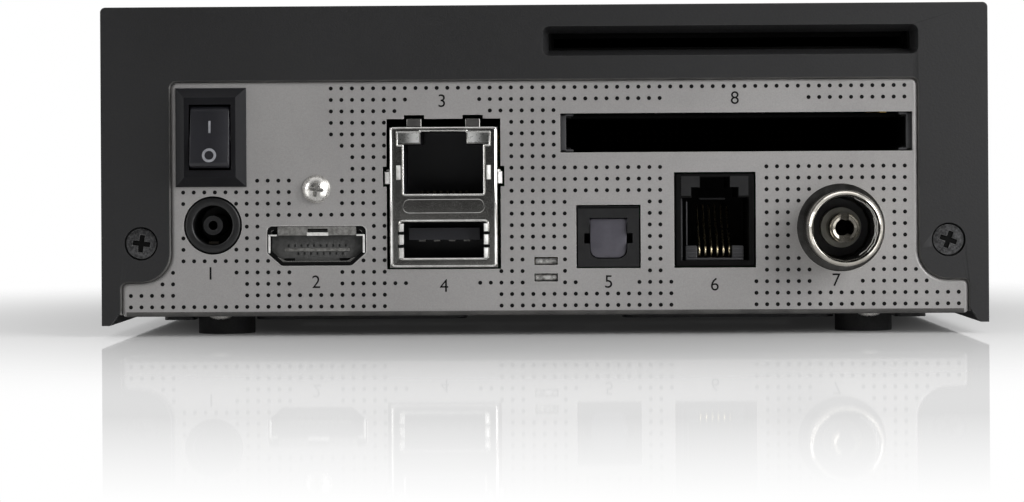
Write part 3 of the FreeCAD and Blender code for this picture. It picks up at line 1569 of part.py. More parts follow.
def build_bezel():
    bezel = new_body("front_bezel")
    slab = sketch_on(bezel, "XZ", join_plane)
    outline(slab, [
        (-half_cover, cover_low, size.cover_corner),
        (half_cover, cover_low, size.cover_corner),
        (half_cover, cover_top, size.cover_corner),
        (-half_cover, cover_top, size.cover_corner),
    ])
    pad(bezel, slab, size.bezel_depth)
    hollow = sketch_on(bezel, "XZ", front + size.bezel_face)
    wall = size.cover_wall
    rectangle(hollow, (-half_cover + wall, half_cover - wall), (cover_low + wall, cover_top - wall))
    pocket(bezel, hollow, size.bezel_depth)
    strip = sketch_on(bezel, "XZ", front)
    strip_tall = around(size.front_middle, size.lens_strip_tall)
    rectangle(strip, around(0.0, size.lens_strip_width), strip_tall, size.lens_strip_corner)
    pocket(bezel, strip, size.lens_strip_sheet)
    window = sketch_on(bezel, "XZ", front)
    lip = size.lens_strip_lip
    inner_tall = around(size.front_middle, size.lens_strip_tall - 2 * lip)
    rectangle(window, around(0.0, size.lens_strip_width - 2 * lip), inner_tall)
    circle(window, button_across, size.front_middle, size.button_width + 2 * size.running_gap)
    pocket(bezel, window)
    spigot = sketch_on(bezel, "XZ", join_plane + size.spigot_reach)
    outer = half_inside - size.seat_gap
    inner = outer - size.spigot_wall
    top = inside_top - size.seat_gap
    inner_top = top - size.spigot_wall
    low = pan_top + size.lug_tall
    outline(spigot, [
        (-outer, low, 0), (-inner, low, 0), (-inner, inner_top, 0), (inner, inner_top, 0),
        (inner, low, 0), (outer, low, 0), (outer, top, 0), (-outer, top, 0),
    ])
    pad(bezel, spigot, size.spigot_reach + size.bezel_depth - size.bezel_face)
    lugs = sketch_on(bezel, "XZ", join_plane + size.lug_reach)
    for side in (-1, 1):
        rectangle(lugs, around(foot_across * side, size.lug_width), (pan_top, pan_top + size.lug_tall))
    pad(bezel, lugs, size.lug_reach + size.bezel_depth - size.bezel_face)
    posts = sketch_on(bezel, "XZ", front_board_face)
    pins = sketch_on(bezel, "XZ", front_board_face + size.board_sheet)
    for across, height in front_post_places():
        circle(posts, across, height, size.front_post)
        circle(pins, across, height, size.front_pin)
    pad(bezel, posts, size.front_board_set_back - size.bezel_face)
    pad(bezel, pins, size.board_sheet)
    taps = sketch_on(bezel, "XY", pan_top)
    for side in (-1, 1):
        circle(taps, foot_across * side, lug_along(), size.bottom_screw_shank)
    pocket(bezel, taps, size.lug_tall, backwards=True)


def build_front():
    build_bezel()
    gap = size.seat_gap
    strip = new_body("front_window")
    shape = sketch_on(strip, "XZ", front + size.lens_strip_sheet)
    tall = around(size.front_middle, size.lens_strip_tall - 2 * gap)
    rectangle(shape, around(0.0, size.lens_strip_width - 2 * gap), tall, size.lens_strip_corner - gap)
    pad(strip, shape, size.lens_strip_sheet)
    place = (button_across, size.front_middle)
    flange_face = front + size.bezel_face + size.running_gap
    cap = rod("y", place, size.button_width, (front - size.button_out, flange_face + size.button_flange_tall))
    flange_width = size.button_width + 2 * (size.button_flange + size.running_gap)
    flange = rod("y", place, flange_width, (flange_face, flange_face + size.button_flange_tall))
    plunger_face = front_board_face - size.tact_body - size.tact_plunger_tall
    stem_end = plunger_face - size.button_travel - gap
    stem = rod("y", place, size.button_stem, (flange_face, stem_end))
    node("standby_button", join(cap, flange, stem))
    board = new_body("front_board")
    plate = sketch_on(board, "XZ", front_board_face + size.board_sheet)
    rectangle(plate, (-half_front_board, half_front_board), around(size.front_middle, size.front_board_tall))
    for across, height in front_post_places():
        circle(plate, across, height, size.front_pin)
    pad(board, plate, size.board_sheet)
    span = (front_board_face - size.tact_body, front_board_face)
    body = block(around(place[0], size.tact_width), span, around(place[1], size.tact_width))
    plunger = rod("y", place, size.tact_plunger, (plunger_face, front_board_face - size.tact_body))
    node("button_switch", join(body, plunger))
    span = (front_board_face - size.receiver_depth, front_board_face)
    receiver_tall = around(size.front_middle, size.receiver_tall)
    node("infrared_receiver", block(around(size.receiver_across, size.receiver_width), span, receiver_tall))
    span = (front_board_face - size.led_depth, front_board_face)
    node("status_led", rod("y", (size.led_across, size.front_middle), size.led_width, span))
    build_front_cable()


def build_front_cable():
    """Board-to-board socket strip that stands on the main board and holds the front board's foot."""
    rear_face = front_board_face + size.board_sheet
    low = size.front_middle - size.front_board_tall / 2
    tall = (size.board_height, low + size.connector_lap)
    strip = block(around(0.0, size.connector_width), (rear_face, board_front + size.connector_lap), tall)
    node("front_connector", strip)


# ---- build, check and write ------------------------------------------------

def check_document():
    problems = []
    for thing in doc.Objects:
        if "Invalid" in thing.State or "Error" in thing.State:
            problems.append(f"{thing.Name} is {thing.State}")
        if thing.TypeId == "PartDesign::Pocket":
            before = thing.BaseFeature.Shape.Volume
            if thing.Shape.isNull() or thing.Shape.Volume > before - 0.001:
                problems.append(f"{thing.Name} in {thing.getParentGeoFeatureGroup().Label} cuts nothing")
    for thing in nodes:
        if thing.Shape.isNull() or not thing.Shape.isValid() or not thing.Shape.Solids:
            problems.append(f"{thing.Label} has no valid solid")
    if problems:
        raise RuntimeError("; ".join(problems))


def main():
    build_cover()
    build_panel()
    build_pan()
    build_feet()
    build_screws()
    build_switch()
    build_leads()
    build_power_jack()
    build_video_socket()
    build_stack()
    build_ground_clip()
    build_optical()
    build_serial_jack()
    build_tuner()
    build_module_slot()
    build_card_reader()
    build_pillars()
    build_card_cable()
    build_main_board()
    build_front()
    doc.recompute()
    check_document()
    os.makedirs("parts", exist_ok=True)
    for thing in nodes:
        thing.Shape.exportStep(f"parts/{thing.Label}.step")
        print(f"{thing.Label}: {len(thing.Shape.Solids)} solids, {thing.Shape.Volume:.1f} mm3")
    print(f"{len(nodes)} nodes written")


main()
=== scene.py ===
import math
import bmesh
import bpy
from mathutils import Euler, Matrix, Vector


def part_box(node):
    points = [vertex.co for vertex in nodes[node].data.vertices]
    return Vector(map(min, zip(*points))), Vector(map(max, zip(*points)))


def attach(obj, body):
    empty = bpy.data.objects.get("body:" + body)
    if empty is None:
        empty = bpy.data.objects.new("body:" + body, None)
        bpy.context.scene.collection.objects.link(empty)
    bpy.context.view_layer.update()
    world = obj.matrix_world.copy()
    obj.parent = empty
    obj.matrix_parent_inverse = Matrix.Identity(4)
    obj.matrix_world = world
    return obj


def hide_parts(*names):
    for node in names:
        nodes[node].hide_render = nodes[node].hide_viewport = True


# Compact satellite receiver seen from its socket side. Metres; +Z up, sockets on +Y.
# Sizes and places in the dictionaries are in mm where nothing else is said.
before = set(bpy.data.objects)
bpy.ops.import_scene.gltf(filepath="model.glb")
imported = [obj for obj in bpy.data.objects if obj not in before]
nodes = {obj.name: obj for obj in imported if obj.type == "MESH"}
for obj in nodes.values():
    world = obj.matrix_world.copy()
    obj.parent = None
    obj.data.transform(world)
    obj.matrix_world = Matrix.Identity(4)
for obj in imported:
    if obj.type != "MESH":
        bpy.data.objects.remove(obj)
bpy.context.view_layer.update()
mm = 0.001


def nodeSpan(name, axis):
    # from where to where a node reaches along an axis, in mm
    low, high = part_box(name)
    return low[axis] / mm, high[axis] / mm


def middleOf(name):
    # a node's middle, across and up, in mm
    return [sum(nodeSpan(name, axis)) / 2 for axis in (0, 2)]


coverRear = nodeSpan("top_cover", 1)[1]
panelFace = nodeSpan("rear_panel", 1)[1]
print("frame loaded:", len(nodes), "nodes")


def toLinear(hexColour):
    parts = [int(hexColour[i:i + 2], 16) / 255 for i in (1, 3, 5)]
    return [c / 12.92 if c <= 0.04045 else ((c + 0.055) / 1.055) ** 2.4 for c in parts] + [1.0]


def addNode(tree, kind, inputs=None, **settings):
    # inputs go by name or number, and take a value, another node or one of its outputs
    node = tree.nodes.new("ShaderNode" + kind)
    for name, value in settings.items():
        setattr(node, name, value)
    for name, value in (inputs or {}).items():
        if isinstance(value, bpy.types.Node):
            value = value.outputs[0]
        if isinstance(value, bpy.types.NodeSocket):
            tree.links.new(value, node.inputs[name])
        else:
            node.inputs[name].default_value = value
    return node


def newTree(name):
    material = bpy.data.materials.new(name)
    material.use_nodes = True
    material.node_tree.nodes.clear()
    return material, material.node_tree


def makePiece(name, mesh, look, smoothAngle=None, body="case"):
    # a mesh object in the row frame that rides on a body
    mesh.name = name
    piece = bpy.data.objects.new(name, mesh)
    bpy.context.scene.collection.objects.link(piece)
    mesh.materials.clear()
    mesh.materials.append(surfaces[look])
    if smoothAngle is not None:
        mesh.shade_smooth()
        mesh.set_sharp_from_angle(angle=math.radians(smoothAngle))
    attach(piece, body)
    return piece


def finishMesh(shape):
    bmesh.ops.remove_doubles(shape, verts=shape.verts, dist=0.0005 * mm)
    bmesh.ops.recalc_face_normals(shape, faces=shape.faces)
    mesh = bpy.data.meshes.new("mesh")
    shape.to_mesh(mesh)
    shape.free()
    return mesh


def loftMesh(rings, closed=False):
    # joins rings of equally many points, all in mm; closed joins the last ring to the first too
    shape = bmesh.new()
    made = [[shape.verts.new(Vector(spot) * mm) for spot in ring] for ring in rings]
    count = len(made[0])
    following = made[1:] + made[:1] if closed else made[1:]
    for before, after in zip(made, following):
        for k in range(count):
            shape.faces.new((before[k], before[(k + 1) % count], after[(k + 1) % count], after[k]))
    if not closed:
        shape.faces.new(made[0])
        shape.faces.new(made[-1])
    return finishMesh(shape)


def turned(centre, profile, count=72):
    # rings about a line along Y through centre (across, up), from (radius, along) pairs
    angles = [2 * math.pi * (k + 0.5) / count for k in range(count)]
    return [[(centre[0] + radius * math.cos(a), along, centre[1] + radius * math.sin(a)) for a in angles]
            for radius, along in profile]


def arc(centre, radius, start, end, steps=6):
    # points on a circle, angles in degrees
    angles = [math.radians(start + (end - start) * k / steps) for k in range(steps + 1)]
    return [(centre[0] + radius * math.cos(a), centre[1] + radius * math.sin(a)) for a in angles]


def rounded(corners, steps=6):
    # an outline through (across, up, radius) corners, which run anticlockwise
    points = []
    for k, (across, up, radius) in enumerate(corners):
        here = Vector((across, up))
        before = (Vector(corners[k - 1][:2]) - here).normalized()
        after = (Vector(corners[(k + 1) % len(corners)][:2]) - here).normalized()
        if radius <= 0:
            points.append(here)
            continue
        half = before.angle(after) / 2
        start = here + before * (radius / math.tan(half))
        end = here + after * (radius / math.tan(half))
        middle = here + (before + after).normalized() * (radius / math.sin(half))
        for step in range(steps + 1):
            spoke = (start - middle).lerp(end - middle, step / steps)
            points.append(middle + spoke.normalized() * radius)
    return points


def frameBox(left, right, low, high, radius=0.0):
    return rounded([(left, low, radius), (right, low, radius), (right, high, radius), (left, high, radius)])


def sideBox(centre, side, inner, outer, low, high, radius=0.0):
    # a frame on one side of a middle line
    left, right = sorted((centre + side * inner, centre + side * outer))
    return frameBox(left, right, low, high, radius)


def mirroredOutline(centre, rightHalf):
    # the right half's corners run upwards; the left half is the same turned over
    right = [(centre + across, up, radius) for across, up, radius in rightHalf]
    left = [(centre - across, up, radius) for across, up, radius in reversed(rightHalf)]
    return rounded(right + left, 4)


def ringOf(outline, along, grow=0.0):
    # the outline at a depth, grown square to its edges
    ring = []
    for k, here in enumerate(outline):
        before = (here - outline[k - 1]).normalized()
        after = (outline[(k + 1) % len(outline)] - here).normalized()
        square = Vector((before.y + after.y, -before.x - after.x))
        stretch = max(0.5, math.sqrt(max(0.0, (1 + before.dot(after)) / 2)))
        spot = here + square.normalized() * (grow / stretch)
        ring.append((spot.x, along, spot.y))
    return ring


def grownOutline(outline, grow):
    return [Vector((x, z)) for x, _, z in ringOf(outline, 0.0, grow)]


def slabMesh(outline, low, high, soft=0.0):
    # an outline pushed through a depth, its front edge softened
    rings = [ringOf(outline, low)]
    if soft:
        rings += [ringOf(outline, high - soft), ringOf(outline, high - 0.3 * soft, -0.3 * soft)]
    rings.append(ringOf(outline, high, -soft))
    return loftMesh(rings)


def bandMesh(outline, section):
    # a section of (grow, along) pairs led round an outline
    return loftMesh([ringOf(outline, along, grow) for grow, along in section], closed=True)


def beadMesh(outline, width, base, proud):
    # a pressed ridge that follows an outline and stands on a face
    half = width / 2
    return bandMesh(outline, [(-half, base - 0.05), (-half, base), (-0.15 * half, base + proud),
                              (0.15 * half, base + proud), (half, base), (half, base - 0.05)])


def joinMeshes(meshes):
    shape = bmesh.new()
    for mesh in meshes:
        shape.from_mesh(mesh)
        bpy.data.meshes.remove(mesh)
    joined = bpy.data.meshes.new("mesh")
    shape.to_mesh(joined)
    shape.free()
    return joined


def carve(mesh, cutters):
    # takes cutter meshes out of a mesh for good
    body = bpy.data.objects.new("carving", mesh)
    bpy.context.scene.collection.objects.link(body)
    tools = []
    for cutter in cutters:
        tool = bpy.data.objects.new("cutter", cutter)
        bpy.context.scene.collection.objects.link(tool)
        change = body.modifiers.new("carve", "BOOLEAN")
        change.operation = "DIFFERENCE"
        change.solver = "EXACT"
        change.object = tool
        tools.append(tool)
    made = bpy.data.meshes.new_from_object(body.evaluated_get(bpy.context.evaluated_depsgraph_get()))
    for thing in [body] + tools:
        bpy.data.objects.remove(thing)
    return made


def softenEdges(piece, width):
    # rounds the sharp edges of a piece as its mould or press would
    weld = piece.modifiers.new("weld", "WELD")
    weld.merge_threshold = 0.002 * mm
    bevel = piece.modifiers.new("bevel", "BEVEL")
    bevel.width = width * mm
    bevel.segments = 2
    bevel.limit_method = "ANGLE"
    bevel.angle_limit = math.radians(30)
    bevel.miter_outer = "MITER_ARC"
    shade = piece.modifiers.new("shade", "WEIGHTED_NORMAL")
    shade.weight = 100


view = {
    "distance": 425.0,  # from the cover's rear face
    "across": -0.9, "height": 25.0,  # where the lens stands
    "pixelsPerMm": 6.384,  # of a 1024 pixel wide picture, at the cover's rear face
    "axisRow": 176.0,  # where the lens axis meets the picture
    "picture": (1024.0, 502.0),
    "roll": 0.33, "turn": 0.79,  # degrees
}


def makeCamera():
    lens = bpy.data.cameras.new("camera")
    camera = bpy.data.objects.new("camera", lens)
    bpy.context.scene.collection.objects.link(camera)
    camera.location = (view["across"] * mm, (coverRear + view["distance"]) * mm, view["height"] * mm)
    camera.rotation_euler = Euler([math.radians(a) for a in (90, view["roll"], 180 + view["turn"])], "XYZ")
    width, height = view["picture"]
    lens.sensor_width = 36.0
    lens.lens = view["pixelsPerMm"] * view["distance"] * lens.sensor_width / width
    lens.shift_y = (view["axisRow"] - height / 2) / width
    lens.clip_start = 0.01
    bpy.context.scene.camera = camera


light = {
    "sky": 0.24,  # level of the even light all round
    "studioDark": 0.04,  # what polished metal sees behind the camera
    "aim": (0.0, 0.0, 0.03),  # m
    "lamps": {  # place, width, height in m, power in W
        "key": ((-0.40, 0.28, 0.22), 0.42, 0.32, 2.5),
        "side": ((0.60, 0.11, 0.20), 0.40, 0.30, 1.2),
        "top": ((0.0, -0.03, 0.80), 0.90, 0.26, 0.8),
        "front": ((0.35, -0.75, 0.45), 0.60, 0.40, 2.6),
    },
}


def rayKinds(tree):
    # 1 for mirrored and refracted rays, and 1 for those and the camera's own
    path = addNode(tree, "LightPath").outputs
    sharp = addNode(tree, "Math", {0: path["Is Glossy Ray"], 1: path["Is Transmission Ray"]},
                    operation="MAXIMUM")
    return sharp, addNode(tree, "Math", {0: path["Is Camera Ray"], 1: sharp}, operation="MAXIMUM")


def makeLight():
    for name, (spot, width, height, power) in light["lamps"].items():
        lamp = bpy.data.lights.new(name, "AREA")
        lamp.shape = "RECTANGLE"
        lamp.size = width
        lamp.size_y = height
        lamp.energy = power
        holder = bpy.data.objects.new(name, lamp)
        bpy.context.scene.collection.objects.link(holder)
        holder.visible_camera = False
        holder.location = spot
        holder.rotation_euler = (Vector(light["aim"]) - Vector(spot)).to_track_quat("-Z", "Y").to_euler()
    world = bpy.data.worlds.new("studio")
    bpy.context.scene.world = world
    world.use_nodes = True
    tree = world.node_tree
    tree.nodes.clear()
    sharp, seen = rayKinds(tree)
    toward = addNode(tree, "SeparateXYZ", {0: addNode(tree, "TexCoord").outputs["Generated"]}).outputs["Y"]
    # the room behind the camera is darker, which polished metal mirrors
    behind = addNode(tree, "MapRange", {"Value": toward, "From Min": 0.0, "From Max": 0.8, "To Min": 1.0,
                     "To Max": light["studioDark"]}, interpolation_type="SMOOTHSTEP")
    mirrored = addNode(tree, "Mix", {0: sharp, 2: 1.0, 3: behind}, data_type="FLOAT")
    level = addNode(tree, "Mix", {0: seen, 2: light["sky"], 3: mirrored}, data_type="FLOAT")
    sky = addNode(tree, "Background", {"Color": (1, 1, 1, 1), "Strength": level})
    addNode(tree, "OutputWorld", {"Surface": sky})


floorLook = {
    "reach": 3.0,  # m
    "colour": "#D0D0D0",
    "gloss": 0.28, "glossRoughness": 0.03,
    "glossFrom": 205.0, "glossTo": 275.0,  # the mirror image fades out between these distances
    "fadeFrom": 55.0, "fadeTo": 190.0, "floorGlow": 0.02,  # and the board into the backdrop between these; nearer in, the board still glows faintly to camera and mirror rays, painted light that lifts the shadow under the box
    "darkFrom": 100.0, "darkTo": 420.0,  # what polished metal sees of it, out behind the camera
}


def makeFloor():
    # lacquered white board: even white with a faint mirror image, fading into the backdrop
    look = floorLook
    shape = bmesh.new()
    bmesh.ops.create_grid(shape, x_segments=2, y_segments=2, size=look["reach"])
    floor = bpy.data.objects.new("floor", finishMesh(shape))
    bpy.context.scene.collection.objects.link(floor)
    material, tree = newTree("lacqueredBoard")
    place = addNode(tree, "TexCoord").outputs["Object"]
    away = addNode(tree, "VectorMath", {0: place}, operation="LENGTH").outputs["Value"]
    far = addNode(tree, "MapRange", {"Value": away, "From Min": look["fadeFrom"] * mm,
                  "From Max": look["fadeTo"] * mm, "To Min": look["floorGlow"]},
                  interpolation_type="SMOOTHSTEP")
    sharp, seen = rayKinds(tree)
    fade = addNode(tree, "Math", {0: far, 1: seen}, operation="MULTIPLY")
    matt = addNode(tree, "BsdfDiffuse", {"Color": toLinear(look["colour"])})
    gloss = addNode(tree, "BsdfGlossy", {"Color": (1, 1, 1, 1), "Roughness": look["glossRoughness"]})
    mirror = addNode(tree, "MapRange", {"Value": away, "From Min": look["glossFrom"] * mm,
                     "From Max": look["glossTo"] * mm, "To Min": look["gloss"], "To Max": 0.0})
    toward = addNode(tree, "SeparateXYZ", {0: place}).outputs["Y"]
    behind = addNode(tree, "MapRange", {"Value": toward, "From Min": look["darkFrom"] * mm,
                     "From Max": look["darkTo"] * mm, "To Min": 1.0, "To Max": light["studioDark"]},
                     interpolation_type="SMOOTHSTEP")
    level = addNode(tree, "Mix", {0: sharp, 2: 1.0, 3: behind}, data_type="FLOAT")
    white = addNode(tree, "Emission", {"Color": (1, 1, 1, 1), "Strength": level})
    board = addNode(tree, "MixShader", {0: fade, 1: matt, 2: white})
    addNode(tree, "OutputMaterial", {"Surface": addNode(tree, "MixShader", {0: mirror, 1: board, 2: gloss})})
    floor.data.materials.append(material)


bpy.context.scene.view_settings.view_transform = "Standard"
makeCamera()
makeLight()
makeFloor()
print("camera, light and floor ready")


# colour is the ground's and its patches'; size is that of the patches and the grain, mm;
# rough is the level and its spread; the edge entry is how far a paler edge reaches, mm, and its colour there:
# wear, and on some looks a painted highlight where the light catches the edges;
# bump is the grain's height, mm; fleck is a flake's size, mm, and how much its shade varies;
# stretch multiplies the grain's scale along each axis; plainLook holds where a look says nothing
plainLook = {"bump": 0.004, "metallic": 0.0, "transmission": 0.0, "specular": 0.5}

looks = {
    # ABS moulded in a spark-eroded tool: even matt charcoal, a fine pebble grain, paler edges that are partly
    # wear and partly painted highlight
    "mouldedAbs": {"colour": ("#202021", "#1C1C1D"), "size": (26.0, 0.34), "bump": 0.020,
                   "rough": (0.56, 0.08), "edgeWearAndSheen": (0.25, "#3A3A3B")},
    # zinc-plated steel with satin silver paint: pale grey, faint flake, slight orange peel; its near-white
    # edges are partly wear and partly painted highlight on the cut edges that catch the light
    "silverPaint": {"colour": ("#A8A6A5", "#A19F9E"), "size": (18.0, 0.42), "bump": 0.006,
                    "rough": (0.40, 0.06), "metallic": 0.25, "edgeWearAndSheen": (0.22, "#E2E0DE"),
                    "fleck": (0.16, 0.07)},
    # steel pan with matt black stove paint: dark, dusty patches, worn press edges
    "stovePaint": {"colour": ("#1D1D1E", "#252526"), "size": (15.0, 0.5), "bump": 0.010,
                   "rough": (0.52, 0.10), "edgeWearAndSheen": (0.25, "#3A3A3B")},
    # moulded nitrile rubber: soft black, no shine, dust in the grain
    "nitrileRubber": {"colour": ("#1E1E1F", "#262626"), "size": (3.0, 0.3), "bump": 0.012,
                      "rough": (0.78, 0.08), "edgeWearAndSheen": (0.3, "#303031")},
    # black-oxide steel screw: dark with an oily sheen, paler edges that are partly where the driver bit and
    # partly painted glint on the rims
    "blackOxide": {"colour": ("#2E2E2F", "#5A5A5B"), "size": (0.34, 0.26), "bump": 0.03,
                   "rough": (0.36, 0.10), "metallic": 0.4, "edgeWearAndSheen": (0.16, "#B0B0AE")},
    # nickel-plated steel screw: bright, faint turning marks
    "nickelScrew": {"colour": ("#E6E4E0", "#CFCDC9"), "size": (1.5, 0.22), "bump": 0.012,
                    "rough": (0.27, 0.08), "metallic": 1.0, "edgeWearAndSheen": (0.12, "#EDEBE8")},
    # polyamide moulded in a polished tool: near black, satin, softly bright edges
    "satinPolyamide": {"colour": ("#26262B", "#222226"), "size": (5.0, 0.25), "bump": 0.006,
                       "rough": (0.38, 0.06), "edgeWearAndSheen": (0.18, "#3D3E42")},
    # the same polyamide with glass in it for the switch frame: blacker, duller
    "glassPolyamide": {"colour": ("#121215", "#161619"), "size": (5.0, 0.25), "bump": 0.008,
                       "rough": (0.50, 0.06), "specular": 0.2, "edgeWearAndSheen": (0.14, "#2A2A2E")},
    # liquid crystal polymer of small connectors: dead black, matt
    "blackPolymer": {"colour": ("#070707", "#0B0B0B"), "size": (1.6, 0.2), "bump": 0.005,
                     "rough": (0.62, 0.08), "specular": 0.1},
    # stamped brass: warm yellow, drawn lightly along the strip
    "stampedBrass": {"colour": ("#BFA15C", "#A98C4C"), "size": (2.0, 0.2), "bump": 0.003,
                     "rough": (0.30, 0.08), "metallic": 1.0},
    # natural polyamide connector: creamy white
    "naturalPolyamide": {"colour": ("#D9D4C2", "#CFC9B5"), "size": (4.0, 0.3), "bump": 0.005,
                         "rough": (0.48, 0.06)},
    # extruded PVC insulation: smooth red with a soft shine
    "extrudedPvc": {"colour": ("#8E2420", "#7C1E1B"), "size": (6.0, 0.3), "rough": (0.42, 0.05)},
    # glass-filled PBT socket body: black, slightly mottled by the fibres
    "filledPbt": {"colour": ("#131314", "#1B1B1C"), "size": (1.6, 0.2), "bump": 0.006,
                  "rough": (0.44, 0.10), "edgeWearAndSheen": (0.14, "#303031")},
    # turned and nickel-plated zinc: bright warm silver with dark mirror bands
    "platedNickel": {"colour": ("#CFCBC3", "#BDB8AE"), "size": (2.5, 0.18), "bump": 0.002,
                     "rough": (0.12, 0.05), "metallic": 1.0},
    # the sprung liner inside the socket, unpolished and shaded: dark bronze-grey mirror
    "dullNickel": {"colour": ("#A19D92", "#85817A"), "size": (1.5, 0.2), "rough": (0.20, 0.08),
                   "metallic": 1.0, "edgeWearAndSheen": (0.15, "#D8D5CC")},
    # tin-plated steel strip: cool grey, fine rolling lines, near-white edges that are partly wear on its
    # folds and partly painted highlight
    "tinnedSteel": {"colour": ("#8E8D8A", "#7E7D7A"), "size": (2.2, 0.16), "bump": 0.002,
                    "rough": (0.22, 0.08), "metallic": 1.0, "stretch": (9.0, 1.0, 1.0),
                    "edgeWearAndSheen": (0.16, "#F2F1EE")},
    # the same strip burnished where it is folded and sprung: nearly a mirror
    "foldedSteel": {"colour": ("#DAD9D6", "#C4C3C0"), "size": (1.5, 0.16), "bump": 0.003,
                    "rough": (0.16, 0.06), "metallic": 1.0, "stretch": (1.0, 1.0, 6.0)},
    # spring steel clip, tumbled and tinned: pale, softly shining; its strong darker patches are painted
    # reflection, the bands along the curled clip
    "springSteel": {"colour": ("#E2E1DE", "#858481"), "size": (0.55, 0.2), "bump": 0.006,
                    "rough": (0.44, 0.10), "metallic": 0.6, "stretch": (6.0, 1.0, 1.0)},
    # near-white tin for small bent tabs and edges: painted glint, white where the sheet is bent towards the
    # light
    "glintTin": {"colour": ("#F6F5F2", "#DAD9D6"), "size": (0.8, 0.2), "rough": (0.40, 0.08),
                     "metallic": 0.2},
    # tinned contact ends in a dark moulding: soft grey, uneven
    "tinnedEnds": {"colour": ("#8C8B88", "#6A6966"), "size": (0.5, 0.2), "bump": 0.010,
                   "rough": (0.50, 0.08), "metallic": 0.3},
    # gold-flashed phosphor bronze, thinly plated: soft mirror, its gold paled towards white, partly a painted
    # highlight so that the thin wires show as near-white glints
    "goldFlash": {"colour": ("#F2E6C6", "#DCCBA0"), "size": (1.0, 0.1), "bump": 0.002,
                  "rough": (0.24, 0.06), "metallic": 1.0},
    # the same gold contacts drawn brown-black and barely shining: painted shade for contacts deep in a socket
    "shadedGold": {"colour": ("#241F15", "#1A1710"), "size": (1.0, 0.1), "bump": 0.002,
                    "rough": (0.42, 0.08), "metallic": 0.6},
    # phosphated steel seat of the aerial socket: dark grey, dull metal; it also darkens the ring of the panel
    # hole round the barrel, partly painted shade
    "phosphatedSteel": {"colour": ("#5E5D5C", "#4C4B4A"), "size": (1.5, 0.2), "rough": (0.36, 0.08),
                        "metallic": 0.8},
    # hardened steel pin, oiled: dark grey, softly bright round its end
    "oiledSteel": {"colour": ("#2C2C2D", "#222223"), "size": (1.0, 0.15), "rough": (0.40, 0.08),
                   "metallic": 0.5, "edgeWearAndSheen": (0.2, "#5A5A5B")},
    # sheared edges and hooks: bare grey zinc, dull; on the panel's rolled edge and the fold along its foot it
    # is painted shade, darker than the panel paint
    "zincEdgeShade": {"colour": ("#5C5B59", "#4C4B4A"), "size": (3.0, 0.2), "bump": 0.010,
                    "rough": (0.46, 0.08), "metallic": 0.4, "edgeWearAndSheen": (0.12, "#9A9996")},
    # dark polyamide insert of the video socket, drawn grey: painted light, the light it catches from its
    # shell
    "greyPolyamide": {"colour": ("#565655", "#454544"), "size": (0.7, 0.2), "bump": 0.020,
                      "rough": (0.50, 0.08)},
    # frosted polycarbonate light pipe: milky grey, with paler edges and paler inner ends that are painted
    # highlight
    "frostedPipe": {"colour": ("#6A6B69", "#5A5B59"), "size": (1.6, 0.3), "rough": (0.30, 0.06),
                    "transmission": 0.35, "edgeWearAndSheen": (0.3, "#B9BAB8"),
                    "glare": {"middle": 15.7, "near": 4.3, "far": 6.4, "colour": "#E4E4E2"}},
    # acetal dust shutter: grey with a violet cast, waxy
    "waxyAcetal": {"colour": ("#5B5961", "#504E56"), "size": (3.0, 0.25), "rough": (0.42, 0.05),
                   "edgeWearAndSheen": (0.2, "#77757E")},
    # tinplate can, folded: cool, with soft rolling streaks
    "foldedTinplate": {"colour": ("#B9B8B4", "#A3A29E"), "size": (6.0, 0.3), "rough": (0.30, 0.10),
                       "metallic": 1.0, "stretch": (1.0, 8.0, 1.0)},
    # sintered PTFE disc: even grey, waxy
    "greyInsulator": {"colour": ("#A0A099", "#908F88"), "size": (1.5, 0.2), "rough": (0.50, 0.05)},
    # grey ABS rails of the module slot: dark, edges rubbed paler
    "greyAbs": {"colour": ("#3C3C3E", "#343436"), "size": (4.0, 0.3), "bump": 0.006,
                "rough": (0.50, 0.05), "edgeWearAndSheen": (0.15, "#66666A")},
    # polyester flat cable: pale, slightly shiny
    "polyesterStrip": {"colour": ("#C8C7C0", "#BAB9B1"), "size": (3.0, 0.6), "rough": (0.40, 0.05),
                       "stretch": (8.0, 1.0, 1.0)},
    # moulded epoxy chip bodies: dull black with a fine sandy skin
    "mouldedEpoxy": {"colour": ("#19191A", "#202021"), "size": (4.0, 0.15), "bump": 0.006,
                     "rough": (0.62, 0.06)},
    # black anodised extrusion: dark, drawn along its fins
    "blackAnodised": {"colour": ("#1A1A1B", "#232325"), "size": (5.0, 0.3), "bump": 0.006,
                      "rough": (0.40, 0.08), "metallic": 0.7, "stretch": (1.0, 0.12, 1.0)},
    # drawn aluminium can: silver, soft vertical drawing lines
    "drawnAluminium": {"colour": ("#B8B8B8", "#A8A8A8"), "size": (3.0, 0.25), "bump": 0.003,
                       "rough": (0.32, 0.08), "metallic": 1.0, "stretch": (6.0, 6.0, 0.6)},
    # cast acrylic tinted smoke: near black mirror
    "smokedAcrylic": {"colour": ("#0C0C0E", "#101013"), "size": (20.0, 2.0), "bump": 0.001,
                      "rough": (0.06, 0.03), "specular": 0.2},
    # red-tinted epoxy lens: deep red, clear and glossy
    "tintedEpoxy": {"colour": ("#8C1F1A", "#7A1915"), "size": (1.5, 0.4), "bump": 0.002,
                    "rough": (0.14, 0.04), "transmission": 0.4},
    # screen-printed ink: dense black, a little shine, slightly uneven coverage
    "printedInk": {"colour": ("#080707", "#0E0D0D"), "size": (0.8, 0.12), "bump": 0.002,
                   "rough": (0.52, 0.06), "specular": 0.15},
    # pad-printed marks on the switch: pale grey, thin edges
    "padPrint": {"colour": ("#98999E", "#86878C"), "size": (0.6, 0.10), "bump": 0.002,
                 "rough": (0.50, 0.06)},
}


